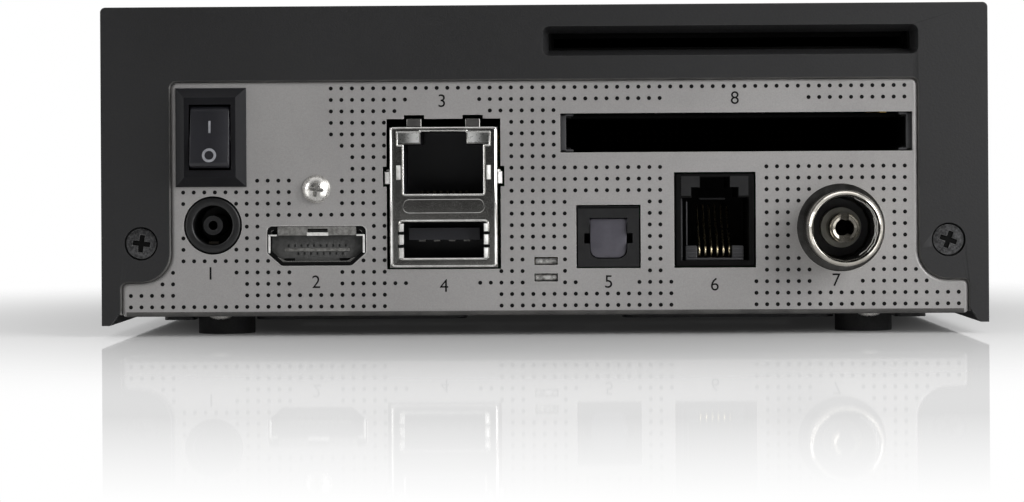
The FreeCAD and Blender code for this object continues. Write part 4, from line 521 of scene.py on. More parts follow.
def makeSurface(name):
    look = {**plainLook, **looks[name]}
    material, tree = newTree(name)
    place = addNode(tree, "TexCoord").outputs["Object"]
    along = place
    if "stretch" in look:
        along = addNode(tree, "Mapping", {"Vector": place, "Scale": look["stretch"]})
    patchSize, grainSize = look["size"]
    patches = addNode(tree, "TexNoise", {"Vector": place, "Scale": 1 / (patchSize * mm), "Detail": 3.0,
                      "Roughness": 0.55})
    grain = addNode(tree, "TexNoise", {"Vector": along, "Scale": 1 / (grainSize * mm), "Detail": 2.0,
                    "Roughness": 0.6})
    spots = addNode(tree, "MapRange", {"Value": patches, "From Min": 0.38, "From Max": 0.66})
    ground, patch = [toLinear(shade) for shade in look["colour"]]
    colour = addNode(tree, "Mix", {0: spots, 6: ground, 7: patch}, data_type="RGBA").outputs[2]
    if "fleck" in look:
        # metal flakes are far smaller than a pixel, so they are drawn as coarse as they need to show
        size, depth = look["fleck"]
        flakes = addNode(tree, "TexVoronoi", {"Vector": place, "Scale": 1 / (size * mm)})
        shade = addNode(tree, "MapRange", {"Value": flakes.outputs["Color"], "To Min": 1 - depth,
                        "To Max": 1 + depth})
        colour = addNode(tree, "VectorMath", {0: colour, "Scale": shade}, operation="SCALE")
    if "glare" in look:
        # painted highlight: the pipe's colour turns paler towards its inner ends
        glare = look["glare"]
        across = addNode(tree, "SeparateXYZ", {0: place}).outputs["X"]
        off = addNode(tree, "Math", {0: across, 1: glare["middle"] * mm}, operation="SUBTRACT")
        off = addNode(tree, "Math", {0: off}, operation="ABSOLUTE")
        near = addNode(tree, "MapRange", {"Value": off, "From Min": glare["near"] * mm,
                       "From Max": glare["far"] * mm, "To Min": 1.0, "To Max": 0.0},
                       interpolation_type="SMOOTHSTEP")
        colour = addNode(tree, "Mix", {0: near, 6: colour, 7: toLinear(glare["colour"])},
                         data_type="RGBA").outputs[2]
    if "edgeWearAndSheen" in look:
        # a paler edge is where the rounded normal leaves the flat one, broken up by the grain: wear, and on
        # some looks a painted highlight along edges that catch the light
        reach, shade = look["edgeWearAndSheen"]
        bevelled = addNode(tree, "Bevel", {"Radius": reach * mm}, samples=4)
        flat = addNode(tree, "NewGeometry").outputs["Normal"]
        bent = addNode(tree, "VectorMath", {0: bevelled, 1: flat}, operation="DOT_PRODUCT").outputs["Value"]
        wearAndSheenMask = addNode(tree, "MapRange", {"Value": bent, "From Min": 0.99, "From Max": 0.80,
                         "To Max": 0.85})
        wearAndSheenMask = addNode(tree, "Math", {0: wearAndSheenMask, 1: grain}, operation="MULTIPLY")
        colour = addNode(tree, "Mix", {0: wearAndSheenMask, 6: colour, 7: toLinear(shade)}, data_type="RGBA").outputs[2]
    level, spread = look["rough"]
    rough = addNode(tree, "MapRange", {"Value": grain, "From Min": 0.25, "From Max": 0.75,
                    "To Min": level - spread, "To Max": level + spread})
    relief = addNode(tree, "Bump", {"Height": grain, "Strength": 1.0, "Distance": look["bump"] * mm})
    surface = addNode(tree, "BsdfPrincipled", {
        "Base Color": colour, "Roughness": rough, "Metallic": look["metallic"], "Normal": relief,
        "Transmission Weight": look["transmission"], "Specular IOR Level": look["specular"]})
    addNode(tree, "OutputMaterial", {"Surface": surface})
    return material


boardLook = {"mask": "#1B4A2B", "bare": "#265C38", "trackPitch": 1.2, "mottle": 6.0, "lacquer": 0.03,
             "rough": (0.26, 0.42)}


def makeSolderMask():
    # glass-epoxy board under green solder mask: glossy, with tracks showing as raised paler lines
    look = boardLook
    material, tree = newTree("solderMask")
    place = addNode(tree, "TexCoord").outputs["Object"]
    # a row of the brick pattern is a quarter of its unit high
    tracks = addNode(tree, "TexBrick", {"Vector": place, "Scale": 1 / (look["trackPitch"] * mm * 4),
                     "Mortar Size": 0.03, "Color1": (0, 0, 0, 1), "Color2": (0, 0, 0, 1),
                     "Mortar": (1, 1, 1, 1)}).outputs["Fac"]
    mottle = addNode(tree, "TexNoise", {"Vector": place, "Scale": 1 / (look["mottle"] * mm), "Detail": 3.0})
    mixed = addNode(tree, "Math", {0: tracks, 1: mottle}, operation="MULTIPLY")
    colour = addNode(tree, "Mix", {0: mixed, 6: toLinear(look["mask"]), 7: toLinear(look["bare"])},
                     data_type="RGBA").outputs[2]
    relief = addNode(tree, "Bump", {"Height": tracks, "Distance": look["lacquer"] * mm})
    least, most = look["rough"]
    rough = addNode(tree, "MapRange", {"Value": mottle, "To Min": least, "To Max": most})
    surface = addNode(tree, "BsdfPrincipled", {"Base Color": colour, "Roughness": rough, "Normal": relief})
    addNode(tree, "OutputMaterial", {"Surface": surface})
    return material


surfaces = {name: makeSurface(name) for name in looks}
surfaces["solderMask"] = makeSolderMask()

slotSurfaces = {
    "cover_plastic": "mouldedAbs", "panel_paint": "silverPaint", "pan_paint": "stovePaint",
    "foot_rubber": "nitrileRubber", "black_screw": "blackOxide", "bright_screw": "nickelScrew",
    "switch_plastic": "satinPolyamide", "brass_contact": "stampedBrass", "header_plastic": "naturalPolyamide",
    "lead_jacket": "extrudedPvc", "socket_plastic": "filledPbt", "nickel": "platedNickel",
    "socket_steel": "tinnedSteel", "gold_contact": "goldFlash", "clear_pipe": "frostedPipe",
    "shutter_plastic": "waxyAcetal", "tin_plate": "foldedTinplate", "insulator_plastic": "greyInsulator",
    "cage_plastic": "greyAbs", "circuit_board": "solderMask", "flat_cable": "polyesterStrip",
    "chip_epoxy": "mouldedEpoxy", "black_aluminium": "blackAnodised", "can_aluminium": "drawnAluminium",
    "smoked_acrylic": "smokedAcrylic", "tact_body": "filledPbt", "led_epoxy": "tintedEpoxy",
}

# solids whose finish differs from the rest of their slot
nodeSurfaces = {
    "switch_housing": "glassPolyamide", "card_reader": "blackPolymer", "ground_clip": "springSteel",
    "module_cage": "blackPolymer", "module_header": "blackPolymer", "module_pins": "shadedGold",
    "network_contacts": "shadedGold", "bus_contacts": "tinnedEnds", "stack_insert": "satinPolyamide",
    "serial_jack": "blackPolymer", "video_contacts": "shadedGold",
    "power_jack_pin": "oiledSteel", "power_jack_spring": "shadedGold",
}

# the CAD solids come in with their slot's name on their material
for name, piece in nodes.items():
    slotName = piece.data.materials[0].name
    piece.data.materials.clear()
    piece.data.materials.append(surfaces[nodeSurfaces.get(name, slotSurfaces[slotName])])
print("materials ready:", len(surfaces))


# rounding of each part's edges: thick mouldings are rounder than sheet and strip
edges = {
    "top_cover": 0.12, "front_bezel": 0.3, "rear_panel": 0.22, "bottom_pan": 0.3, "switch_housing": 0.18,
    "standby_button": 0.25, "power_jack": 0.25, "serial_jack": 0.18, "optical_body": 0.15,
    "module_cage": 0.2, "module_header": 0.2, "main_chip": 0.15, "heat_sink": 0.12,
    "front_window": 0.2, "foot_rear_left": 0.5, "foot_rear_right": 0.5, "foot_front_left": 0.5,
    "foot_front_right": 0.5, "tuner_can": 0.25, "capacitors": 0.4, "inductors": 0.3, "lead_header": 0.2,
    "front_connector": 0.2, "front_board": 0.1, "main_board": 0.1, "card_board": 0.1, "slot_board": 0.1,
    "board_screws": 0.12, "stack_shield": 0.12, "stack_insert": 0.12,
}
for name, width in edges.items():
    softenEdges(nodes[name], width)
    nodes[name].data.shade_smooth()
print("edges softened:", len(edges))


dots = {
    "width": 0.64, "proud": 0.02, "sides": 12,
    "pitchAcross": 1.664, "pitchUp": 1.80, "lowest": 4.69,
    "columns": 79, "rows": 20, "shift": 0.06,
    "reach": [(3.0, 65.5), (7.4, 60.7), (9.2, 59.0), (10.9, 57.4)],  # from this height up, how far out
    "keepClear": [  # left, right, low, high of each place without dots
        (33.9, 58.0, 25.4, 40.0), (31.0, 34.0, 25.4, 29.0),  # around the mains switch
        (32.5, 34.0, 28.5, 30.8), (45.7, 58.0, 23.6, 25.5),
        (47.5, 57.4, 5.6, 9.2), (49.1, 57.4, 9.2, 10.9),  # under the power jack
        (27.5, 44.1, 12.8, 18.2), (29.1, 42.4, 11.0, 12.8), (32.5, 39.1, 7.4, 11.0),  # video socket
        (5.8, 24.2, 10.5, 34.4), (7.5, 24.2, 9.2, 10.5), (24.2, 25.8, 20.0, 27.0),  # network and bus stack
        (9.2, 22.4, 34.4, 36.2), (10.8, 20.8, 36.2, 38.0), (10.8, 20.8, 7.4, 9.2), (7.5, 24.2, 3.8, 7.4),
        (-2.5, 2.5, 7.4, 12.8),  # ground clip
        (-15.8, -4.1, 9.2, 21.8), (-14.1, -5.8, 7.4, 9.2),  # optical socket
        (-34.1, -19.1, 9.2, 27.2), (-32.4, -20.8, 3.8, 9.2),  # serial jack
        (-58.0, -2.5, 27.2, 36.2), (-40.8, -19.1, 36.2, 38.0),  # module slot
        (-49.1, -42.4, 7.4, 9.2),  # under the antenna socket
    ],
    "keepClearRounds": [(35.8, 23.1, 3.45), (52.0, 17.5, 4.95), (-46.5, 16.65, 7.5)],  # across, up, radius
}


def dotAllowed(across, up):
    reach = [far for floorUp, far in dots["reach"] if up > floorUp][-1]
    if abs(across) > reach:
        return False
    for left, right, low, high in dots["keepClear"]:
        if left < across < right and low < up < high:
            return False
    return all(math.hypot(across - x, up - z) > radius for x, z, radius in dots["keepClearRounds"])


def printDots():
    # raised screen-printed dots, each a thin disc with a rounded rim
    shape = bmesh.new()
    radius = dots["width"] / 2 * mm
    made = 0
    turns = [2 * math.pi * k / dots["sides"] for k in range(dots["sides"])]
    for row in range(dots["rows"]):
        for column in range(dots["columns"]):
            across = (column - (dots["columns"] - 1) / 2) * dots["pitchAcross"] + dots["shift"]
            up = dots["lowest"] + row * dots["pitchUp"]
            if not dotAllowed(across, up):
                continue
            rings = []
            for shrink, lift in ((1.0, -0.005), (1.0, 0.6), (0.8, 1.0)):
                along = (panelFace + dots["proud"] * lift) * mm
                reach = radius * shrink
                rings.append([shape.verts.new((across * mm + reach * math.cos(turn), along,
                                               up * mm + reach * math.sin(turn))) for turn in turns])
            for before, after in zip(rings, rings[1:]):
                for k in range(len(turns)):
                    following = (k + 1) % len(turns)
                    shape.faces.new((before[k], before[following], after[following], after[k]))
            shape.faces.new(rings[-1])
            made += 1
    mesh = bpy.data.meshes.new("mesh")
    bmesh.ops.recalc_face_normals(shape, faces=shape.faces)
    shape.to_mesh(mesh)
    shape.free()
    makePiece("printed_dots", mesh, "printedInk")
    print("printed dots:", made)


printDots()


numerals = {
    "height": 2.0, "proud": 0.02,
    "places": {"1": (52.4, 9.0), "2": (35.8, 7.6), "3": (15.9, 35.9), "4": (15.7, 6.9), "5": (-10.1, 7.4),
               "6": (-26.7, 6.9), "7": (-45.7, 7.5), "8": (-30.0, 36.1)},  # middle across, foot of the figure
}


def printNumerals():
    # plain port numbers in the same ink as the dots
    figures = []
    for digit, (across, up) in numerals["places"].items():
        curve = bpy.data.curves.new("figure", "FONT")
        curve.body = digit
        curve.align_x = "CENTER"
        curve.size = numerals["height"] / 0.70 * mm  # a figure is 0.70 of the font's size high
        curve.extrude = numerals["proud"] / 2 * mm
        holder = bpy.data.objects.new("figure", curve)
        figure = bpy.data.meshes.new_from_object(holder)
        figure.transform(Matrix(((-1, 0, 0, across * mm), (0, 0, 1, (panelFace + numerals["proud"] / 2) * mm),
                                 (0, 1, 0, up * mm), (0, 0, 0, 1))))
        figures.append(figure)
        bpy.data.objects.remove(holder)
    makePiece("port_numerals", joinMeshes(figures), "printedInk")
    print("port numerals:", len(figures))


printNumerals()


panelEdge = {
    "gap": 0.26, "width": 0.52, "sunk": 0.26, "deep": 1.0,  # the rolled edge beside the face
    "foldHigh": 0.72, "foldProud": 0.12,  # the fold along its foot
}


def outerEdge(name, along):
    # the outer boundary of a node's rear faces, anticlockwise, in mm
    mesh = nodes[name].data
    spots = [tuple(round(v / mm, 3) for v in vertex.co) for vertex in mesh.vertices]
    used = {}
    for polygon in mesh.polygons:
        corners = [spots[k] for k in polygon.vertices]
        if polygon.normal.y < 0.9 or any(abs(spot[1] - along) > 0.02 for spot in corners):
            continue
        for start, end in zip(corners, corners[1:] + corners[:1]):
            used[(start, end)] = True
    following = {start: end for start, end in used if (end, start) not in used}
    loops = []
    while following:
        start, spot = following.popitem()
        loop = [start]
        while spot != loop[0]:
            loop.append(spot)
            spot = following.pop(spot)
        loops.append([Vector((x, z)) for x, _, z in loop])
    outline = max(loops, key=lambda loop: max(spot.x for spot in loop) - min(spot.x for spot in loop))
    turning = sum(a.x * b.y - b.x * a.y for a, b in zip(outline, outline[1:] + outline[:1]))
    return outline if turning > 0 else outline[::-1]


def makePanelEdge():
    # the panel's edges are rolled back, which leaves a soft line all round its face; the roll and the fold
    # along its foot are drawn in darker zinc, painted shade
    outline = outerEdge("rear_panel", panelFace)
    reach = nodeSpan("rear_panel", 0)[1]
    low = nodeSpan("rear_panel", 2)[0]
    bend = reach - max(spot.x for spot in outline)
    half, sunk, deep = panelEdge["width"] / 2, panelEdge["sunk"], panelEdge["deep"]
    middle = bend + panelEdge["gap"]
    section = [(-half, -deep), (-half, -sunk), (-0.5 * half, -0.3 * sunk), (0.0, -0.1 * sunk),
               (0.6 * half, -0.3 * sunk), (half, -sunk), (half, -deep)]
    roll = bandMesh(outline, [(middle + grow, panelFace + out) for grow, out in section])
    below = slabMesh(frameBox(-reach - 5, reach + 5, low - 5, low + 0.3), panelFace - 3, panelFace + 3)
    makePiece("panel_roll", carve(roll, [below]), "zincEdgeShade", 40)
    high, proud = panelEdge["foldHigh"], panelEdge["foldProud"]
    section = [(-0.04, -0.9), (-0.02, -0.4), (0.12, -0.12), (0.32, 0.6 * proud), (0.9 * high, proud),
               (high, 0.03), (high, -0.6), (0.5, -0.9)]
    fold = loftMesh([[(across, panelFace + out, low + up) for up, out in section]
                     for across in (bend + 0.2 - reach, reach - bend - 0.2)])
    makePiece("panel_fold", fold, "zincEdgeShade", 40)


makePanelEdge()
print("panel edge ready")


screwLook = {
    "panel": {"place": (35.7, 23.1), "seat": 59.0, "tip": 60.5, "radius": 2.2, "crown": 1.3, "arm": 1.25,
              "armWidth": 0.62, "depth": 1.0, "slope": 0.25, "turn": 8},
    "cover": {"seat": 58.3, "tip": 59.15, "radius": 2.36, "crown": 0.16, "arm": 1.4, "armWidth": 0.84,
              "depth": 0.8, "slope": 0.12, "soft": 0.08},
    "coverPlaces": [((-63.25, 14.7), 20), ((63.25, 14.7), 8)],  # across and up, how the cross is turned
    "shank": 1.25, "shadeSunk": 0.22,
}


def turnAbout(centre, points, degrees):
    angle = math.radians(degrees)
    return [(centre[0] + x * math.cos(angle) - z * math.sin(angle),
             centre[1] + x * math.sin(angle) + z * math.cos(angle)) for x, z in points]


def screwMesh(centre, back, look, turn):
    # a turned head with its driver recess, its shank running back
    tip, radius, crown = look["tip"], look["radius"], look["crown"]
    # the crown is part of a ball
    ball = (radius ** 2 + crown ** 2) / (2 * crown)
    dome = [(radius * share, tip - ball + math.sqrt(ball ** 2 - (radius * share) ** 2))
            for share in (1.0, 0.96, 0.88, 0.76, 0.6, 0.4, 0.2)]
    profile = [(screwLook["shank"], back), (screwLook["shank"], look["seat"]), (radius - 0.04, look["seat"])]
    cutters = []
    for quarter in (0, 90):
        arm = []
        for along, spread in ((tip - look["depth"], -look["slope"]), (tip + 0.4, look["slope"] * 0.4)):
            halfLong, halfWide = look["arm"] + spread, look["armWidth"] / 2 + spread * 0.4
            corners = [(-halfLong, -halfWide), (halfLong, -halfWide), (halfLong, halfWide),
                       (-halfLong, halfWide)]
            arm.append([(x, along, z) for x, z in turnAbout(centre, corners, turn + quarter)])
        cutters.append(loftMesh(arm))
    return carve(loftMesh(turned(centre, profile + dome, 48)), cutters)


def crossOutline(centre, arm, width, turn):
    # the four arms of a driver recess, anticlockwise
    half = width / 2
    points = []
    for quarter in range(4):
        points += turnAbout((0, 0), [(arm, -half), (arm, half), (half, half)], 90 * quarter)
    return [Vector(spot) for spot in turnAbout(centre, points, turn)]


def makeScrews():
    look = screwLook["panel"]
    back = nodeSpan("panel_screw", 1)[0]
    piece = makePiece("panel_screw_head", screwMesh(look["place"], back, look, look["turn"]),
                      "nickelScrew", 35)
    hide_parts("panel_screw")
    look = screwLook["cover"]
    back = nodeSpan("cover_screws", 1)[0]
    heads = [screwMesh(place, back, look, turn) for place, turn in screwLook["coverPlaces"]]
    piece = makePiece("cover_screw_heads", joinMeshes(heads), "blackOxide", 35)
    softenEdges(piece, look["soft"])
    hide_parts("cover_screws")
    # a black floor in both recesses: painted shade at the foot of each driver recess
    recessShades = []
    for place, turn in screwLook["coverPlaces"]:
        outline = crossOutline(place, look["arm"] - 0.05, look["armWidth"] - 0.1, turn)
        recessShades.append(slabMesh(outline, look["tip"] - 1.0, look["tip"] - screwLook["shadeSunk"]))
    makePiece("screw_recess_shade", joinMeshes(recessShades), "blackPolymer")


makeScrews()


footScrews = {"across": 51.25, "rear": 55.29, "front": -51.59, "radius": 1.9, "low": 2.5, "seat": 3.3,
              "top": 8.8, "shank": 1.2, "arm": 1.15, "armWidth": 0.5, "depth": 0.55}


def footScrewMesh(across, along):
    # a low pan head with a crossed recess, seen from below
    look = footScrews
    crown = look["seat"] - look["low"]
    profile = [(look["shank"], look["top"]), (look["shank"], look["seat"]),
               (look["radius"], look["seat"] - 0.02)]
    for degrees in (25, 45, 65, 82):
        angle = math.radians(degrees)
        profile.append((look["radius"] * math.cos(angle), look["seat"] - crown * math.sin(angle)))
    turns = [2 * math.pi * k / 40 for k in range(40)]
    rings = [[(across + radius * math.cos(turn), along + radius * math.sin(turn), up) for turn in turns]
             for radius, up in profile]
    cutters = []
    for halfX, halfY in ((look["arm"], look["armWidth"] / 2), (look["armWidth"] / 2, look["arm"])):
        cutters.append(loftMesh([[(across + x * halfX, along + y * halfY, up)
                                  for x, y in ((-1, -1), (1, -1), (1, 1), (-1, 1))]
                                 for up in (look["low"] - 0.3, look["low"] + look["depth"])]))
    return carve(loftMesh(rings), cutters)


screws = [footScrewMesh(side * footScrews["across"], footScrews[end])
          for side in (-1, 1) for end in ("rear", "front")]
piece = makePiece("foot_screws", joinMeshes(screws), "nickelScrew", 35)
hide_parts("bottom_screws")
print("screws ready")


rockerLook = {
    "pivot": (59.6, 31.3),  # along, up
    "reach": 5.0, "endHeight": 1.75, "middleHeight": 1.5, "skirt": 1.5, "width": 6.2, "tilt": 9.0,
    "endRound": 1.3, "dipRound": 3.0,
    "pinWidth": 1.8, "pinReach": 0.8,
    "lineMark": (0.45, 2.35, 0.34),  # from, to along the upper half, width
    "ringMark": (3.1, 1.11, 0.71),  # middle along the lower half, outer and inner radius
    "markLifts": (-0.01, 0.02),
}


def rockerSpot(across, out, along):
    # from the rocker's own directions to the receiver's: out of its pivot and along its length
    pivotAlong, pivotUp = rockerLook["pivot"]
    turn = math.radians(rockerLook["tilt"])
    return (middleOf("rocker")[0] + across, pivotAlong + out * math.cos(turn) - along * math.sin(turn),
            pivotUp + out * math.sin(turn) + along * math.cos(turn))


def makeRocker():
    # see-saw key with rounded ends and a shallow dip, riding on its two pins
    look = rockerLook
    crest = math.sqrt(look["reach"] ** 2 - look["endHeight"] ** 2)
    foot = math.sqrt(look["reach"] ** 2 - look["skirt"] ** 2)
    shoulder, top = look["endHeight"] * 0.45, look["reach"] * 0.985
    profile = rounded([(-look["skirt"], -foot, 0.15), (shoulder, -top, 1.2),
                       (look["endHeight"], -crest, look["endRound"] * 0.5),
                       (look["middleHeight"], 0.0, look["dipRound"]),
                       (look["endHeight"], crest, look["endRound"]), (shoulder, top, 1.2),
                       (-look["skirt"], foot, 0.15)], 5)
    half = look["width"] / 2
    rings = []
    for across, inset in ((-half, 0.22), (-half + 0.07, 0.07), (-half + 0.22, 0.0), (half - 0.22, 0.0),
                          (half - 0.07, 0.07), (half, 0.22)):
        rings.append([rockerSpot(across, spot.x, spot.y) for spot in grownOutline(profile, -inset)])
    meshes = [loftMesh(rings)]
    section = arc((0, 0), look["pinWidth"] / 2, 0, 345, 23)
    for side in (-1, 1):
        meshes.append(loftMesh([[rockerSpot(side * across, x, y) for x, y in section]
                                for across in (half - 0.3, half + look["pinReach"])]))
    key = makePiece("rocker_key", joinMeshes(meshes), "satinPolyamide", 35, "rocker")
    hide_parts("rocker")


def markRocker():
    # the usual line and ring, pad-printed on the two halves of the key
    look = rockerLook
    crest = math.sqrt(look["reach"] ** 2 - look["endHeight"] ** 2)
    slope = (look["endHeight"] - look["middleHeight"]) / crest

    def onKey(across, along, lift):
        return rockerSpot(across, look["middleHeight"] + abs(along) * slope + lift, along)

    low, high, width = look["lineMark"]
    line = [(-width / 2, low), (width / 2, low), (width / 2, high), (-width / 2, high)]
    under, over = look["markLifts"]
    lineMesh = loftMesh([[onKey(x, y, lift) for x, y in line] for lift in (under, over)])
    middle, outer, inner = look["ringMark"]
    rings = []
    for radius, lift in ((inner, under), (inner, over), (outer, over), (outer, under)):
        rings.append([onKey(x, y, lift) for x, y in arc((0, -middle), radius, 0, 352.5, 47)])
    makePiece("rocker_marks", joinMeshes([lineMesh, loftMesh(rings, closed=True)]), "padPrint",
              body="rocker")


makeRocker()
markRocker()
print("rocker ready")


video = {
    "width": 15.5, "top": 17.3, "low": 11.1, "foot": 11.0, "shoulder": 2.0, "corner": 0.8,
    "gap": 0.58, "rim": 0.14,
    "flap": (-6.2, 6.1, 15.87, 17.26), "flapSlot": (-1.75, 1.4, 16.27, 16.9), "latchDrop": 0.45,
    "bars": [(7.25, 7.58, 13.1, 15.75), (6.25, 7.58, 15.75, 16.0)],  # inner, outer, low, high on both sides
    "hollows": [(6.2, 7.1, 16.0, 16.7), (3.5, 5.2, 11.75, 12.25)],
    "face": 57.6, "faceBack": 56.95, "tongue": (5.12, 13.32, 13.8),
    "teeth": [(14.23, -4.5, 10), (12.98, -3.0, 8)],  # height, first, how many
    "toothPitch": 1.0, "tooth": (0.14, 0.2),
}


def makeVideoMouth():
    # the gap round the drawn shell, its folded sides, and the earthing flap above its latch; the gap and the
    # hollows are black pieces, painted shade, and the folded sides and the latch are near-white tin, painted
    # glint
    centre = middleOf("video_contacts")[0]
    back, face = video["faceBack"], video["face"]
    half, foot, corner = video["width"] / 2, video["foot"] / 2, video["corner"]
    low, top = video["low"], video["top"]
    outline = mirroredOutline(centre, [(foot, low, corner), (half, low + video["shoulder"], corner),
                                       (half, top, corner)])
    section = [(-video["gap"], -0.8), (-video["gap"], 0.03), (0.0, 0.03), (0.0, -0.1)]
    dark = [bandMesh(outline, [(grow, panelFace + out) for grow, out in section])]
    steel = []
    for side in (-1, 1):
        for bar in video["bars"]:
            steel.append(slabMesh(sideBox(centre, side, *bar, 0.08), panelFace - 0.3, panelFace + 0.12, 0.05))
        for hollow in video["hollows"]:
            dark.append(slabMesh(sideBox(centre, side, *hollow), back, face + 0.03))
    makePiece("video_gap_shade", joinMeshes(dark), "blackPolymer")
    rim = beadMesh(grownOutline(outline, video["rim"] / 2), video["rim"], panelFace, 0.05)
    makePiece("video_rim", rim, "silverPaint", 40)
    left, right, low, high = video["flap"]
    flapOutline = frameBox(centre + left, centre + right, low, high, 0.2)
    flap = slabMesh(flapOutline, panelFace - 0.05, panelFace + 0.2, 0.06)
    left, right, low, high = video["flapSlot"]
    slotOutline = frameBox(centre + left, centre + right, low, high, 0.12)
    slot = slabMesh(slotOutline, panelFace - 1.0, panelFace + 1.0)
    makePiece("video_flap", carve(flap, [slot]), "tinnedEnds", 40)
    drop = video["latchDrop"]
    crest = [(-drop, 0.0), (-drop, 0.24), (-0.1, 0.3), (0.05, 0.22), (0.05, 0.0)]
    steel.append(loftMesh([[(centre + across, panelFace + out, low + up) for up, out in crest]
                           for across in (left - 0.1, right + 0.1)]))
    makePiece("video_mouth", joinMeshes(steel), "glintTin", 40)
    teeth = []
    wide, tall = video["tooth"]
    for up, first, count in video["teeth"]:
        for k in range(count):
            across = centre - first - k * video["toothPitch"]
            tooth = frameBox(across - wide, across + wide, up - tall, up + tall)
            teeth.append(slabMesh(tooth, face - 0.5, face + 1))
    fill = carve(slabMesh(grownOutline(outline, -video["gap"]), back, face, 0.1), [joinMeshes(teeth)])
    makePiece("video_face", fill, "greyPolyamide", 40)
    reach, low, high = video["tongue"]
    tongueOutline = frameBox(centre - reach, centre + reach, low, high, 0.12)
    tongue = slabMesh(tongueOutline, face - 0.1, face + 0.16, 0.06)
    makePiece("video_tongue", tongue, "tinnedEnds", 40)


makeVideoMouth()
print("video socket ready")


stack = {
    "half": 8.45, "low": 10.7, "top": 32.7,
    "railWidth": 0.56, "railProud": 0.36, "rimWidth": 0.26, "rimProud": 0.10,
    "mouthWidth": 0.30, "mouthProud": 0.12,
    "network": (6.3, 22.2, 30.1), "pipes": (3.65, 7.3, 32.0), "notch": (2.15, 31.9, 32.2, 32.55),
    "bus": (6.95, 12.05, 18.05),
    "band": (6.35, 19.35, 21.45), "bandWidth": 0.22, "bandProud": 0.014,
    "springs": [(7.45, 6.75, 24.5, 26.75, 0.3), (7.1, 6.3, 16.35, 17.6, 0.2), (7.1, 6.3, 14.3, 15.9, 0.26),
                (7.1, 6.3, 12.2, 13.85, 0.2)],  # outer, inner, low, high, proud
    "springGaps": [(7.2, 6.4, 15.89, 16.35), (7.2, 6.4, 13.84, 14.3)],  # outer, inner, low, high
    "tabs": (9.2, 8.45, 23.85, 25.75, 0.46),
    "hooks": [(19.3, 21.3, 32.9, 33.95), (10.1, 12.1, 32.9, 33.95)], "hookDepth": (58.9, 59.04),
}


def wedgeMesh(centre, side, face, strip):
    # a strip bent out of the sheet, its inner edge standing proud
    outer, inner, low, high, proud = strip
    outer, inner = centre + side * outer, centre + side * inner
    crest = inner + 0.18 * (outer - inner)
    section = [(outer, face - 0.06), (outer + 0.12 * (crest - outer), face + 0.25 * proud),
               (crest - 0.12 * (crest - outer), face + 0.95 * proud), (crest, face + proud),
               (inner, face + 0.9 * proud), (inner, face - 0.06)]
    rings = []
    for up, shrink in ((low, 0.6), (low + 0.12, 1.0), (high - 0.12, 1.0), (high, 0.6)):
        rings.append([(x, face - 0.06 + (y - face + 0.06) * shrink, up) for x, y in section])
    return loftMesh(rings)


def makeStackTrim():
    # folded rails, pressed rims round both mouths and the small contact springs of the shield; the springs
    # and tabs are near-white tin, painted glint
    centre = middleOf("light_pipes")[0]
    face = nodeSpan("stack_shield", 1)[1]
    half, low, top = stack["half"], stack["low"], stack["top"]
    rail = (half, half - stack["railWidth"], low + 0.5, top - 0.25, stack["railProud"])
    meshes, springs, gapShades = [], [], []
    for side in (-1, 1):
        meshes.append(wedgeMesh(centre, side, face, rail))
        springs += [wedgeMesh(centre, side, face, spring) for spring in stack["springs"]]
        springs.append(wedgeMesh(centre, side, face - 0.25, stack["tabs"]))
        gapShades += [slabMesh(sideBox(centre, side, *gap), face - 0.05, face + 0.16)
                 for gap in stack["springGaps"]]
    makePiece("stack_springs", joinMeshes(springs), "glintTin", 40)
    back, front = stack["hookDepth"]
    hooks = [slabMesh(frameBox(*hook, 0.1), back, front, 0.03) for hook in stack["hooks"]]
    makePiece("stack_hooks", joinMeshes(hooks), "zincEdgeShade", 40)
    border = mirroredOutline(centre, [(half - 0.3, low + 0.25, 0.5), (half - 0.3, top - 0.1, 0.2)])
    meshes.append(beadMesh(border, stack["rimWidth"], face, stack["rimProud"]))
    reach, low, top = stack["network"]
    pipeIn, pipeOut, pipeTop = stack["pipes"]
    notchReach, notchLow, notchMouth, notchTop = stack["notch"]
    network = mirroredOutline(centre, [(reach + 0.1, low - 0.1, 0.3), (reach + 0.1, top - 0.25, 0.1),
                                       (pipeOut, top - 0.25, 0.1), (pipeOut, pipeTop, 0.1),
                                       (pipeIn, pipeTop, 0.05), (pipeIn, notchMouth, 0.05)])
    reach, low, top = stack["bus"]
    bus = mirroredOutline(centre, [(reach, low, 0.5), (reach, top, 0.5)])
    meshes += [beadMesh(mouth, stack["mouthWidth"], face, stack["mouthProud"]) for mouth in (network, bus)]
    reach, low, top = stack["band"]
    band = mirroredOutline(centre, [(reach, low, 0.9), (reach, top, 0.9)])
    meshes.append(beadMesh(band, stack["bandWidth"], face, stack["bandProud"]))
    makePiece("stack_trim", joinMeshes(meshes), "foldedSteel", 40)
    # the mouth runs on up between the light pipes; it and the gaps between the springs are black slabs on the
    # face, painted shade
    notch = slabMesh(frameBox(centre - notchReach, centre + notchReach, notchLow, notchTop, 0.1), face - 0.05,
                     face + 0.03)
    makePiece("stack_notch_shade", joinMeshes([notch] + gapShades), "blackPolymer")


makeStackTrim()
print("network and bus stack ready")


shutterLook = {
    "width": 5.74, "thick": 0.8, "soft": 0.14, "topRound": 0.35, "footRound": 1.4,
    "pin": 0.86, "pinSet": 0.46,  # the pin's width, and how far its middle is behind the flap's face
    "cornerProud": 0.12, "gap": 0.32,
}


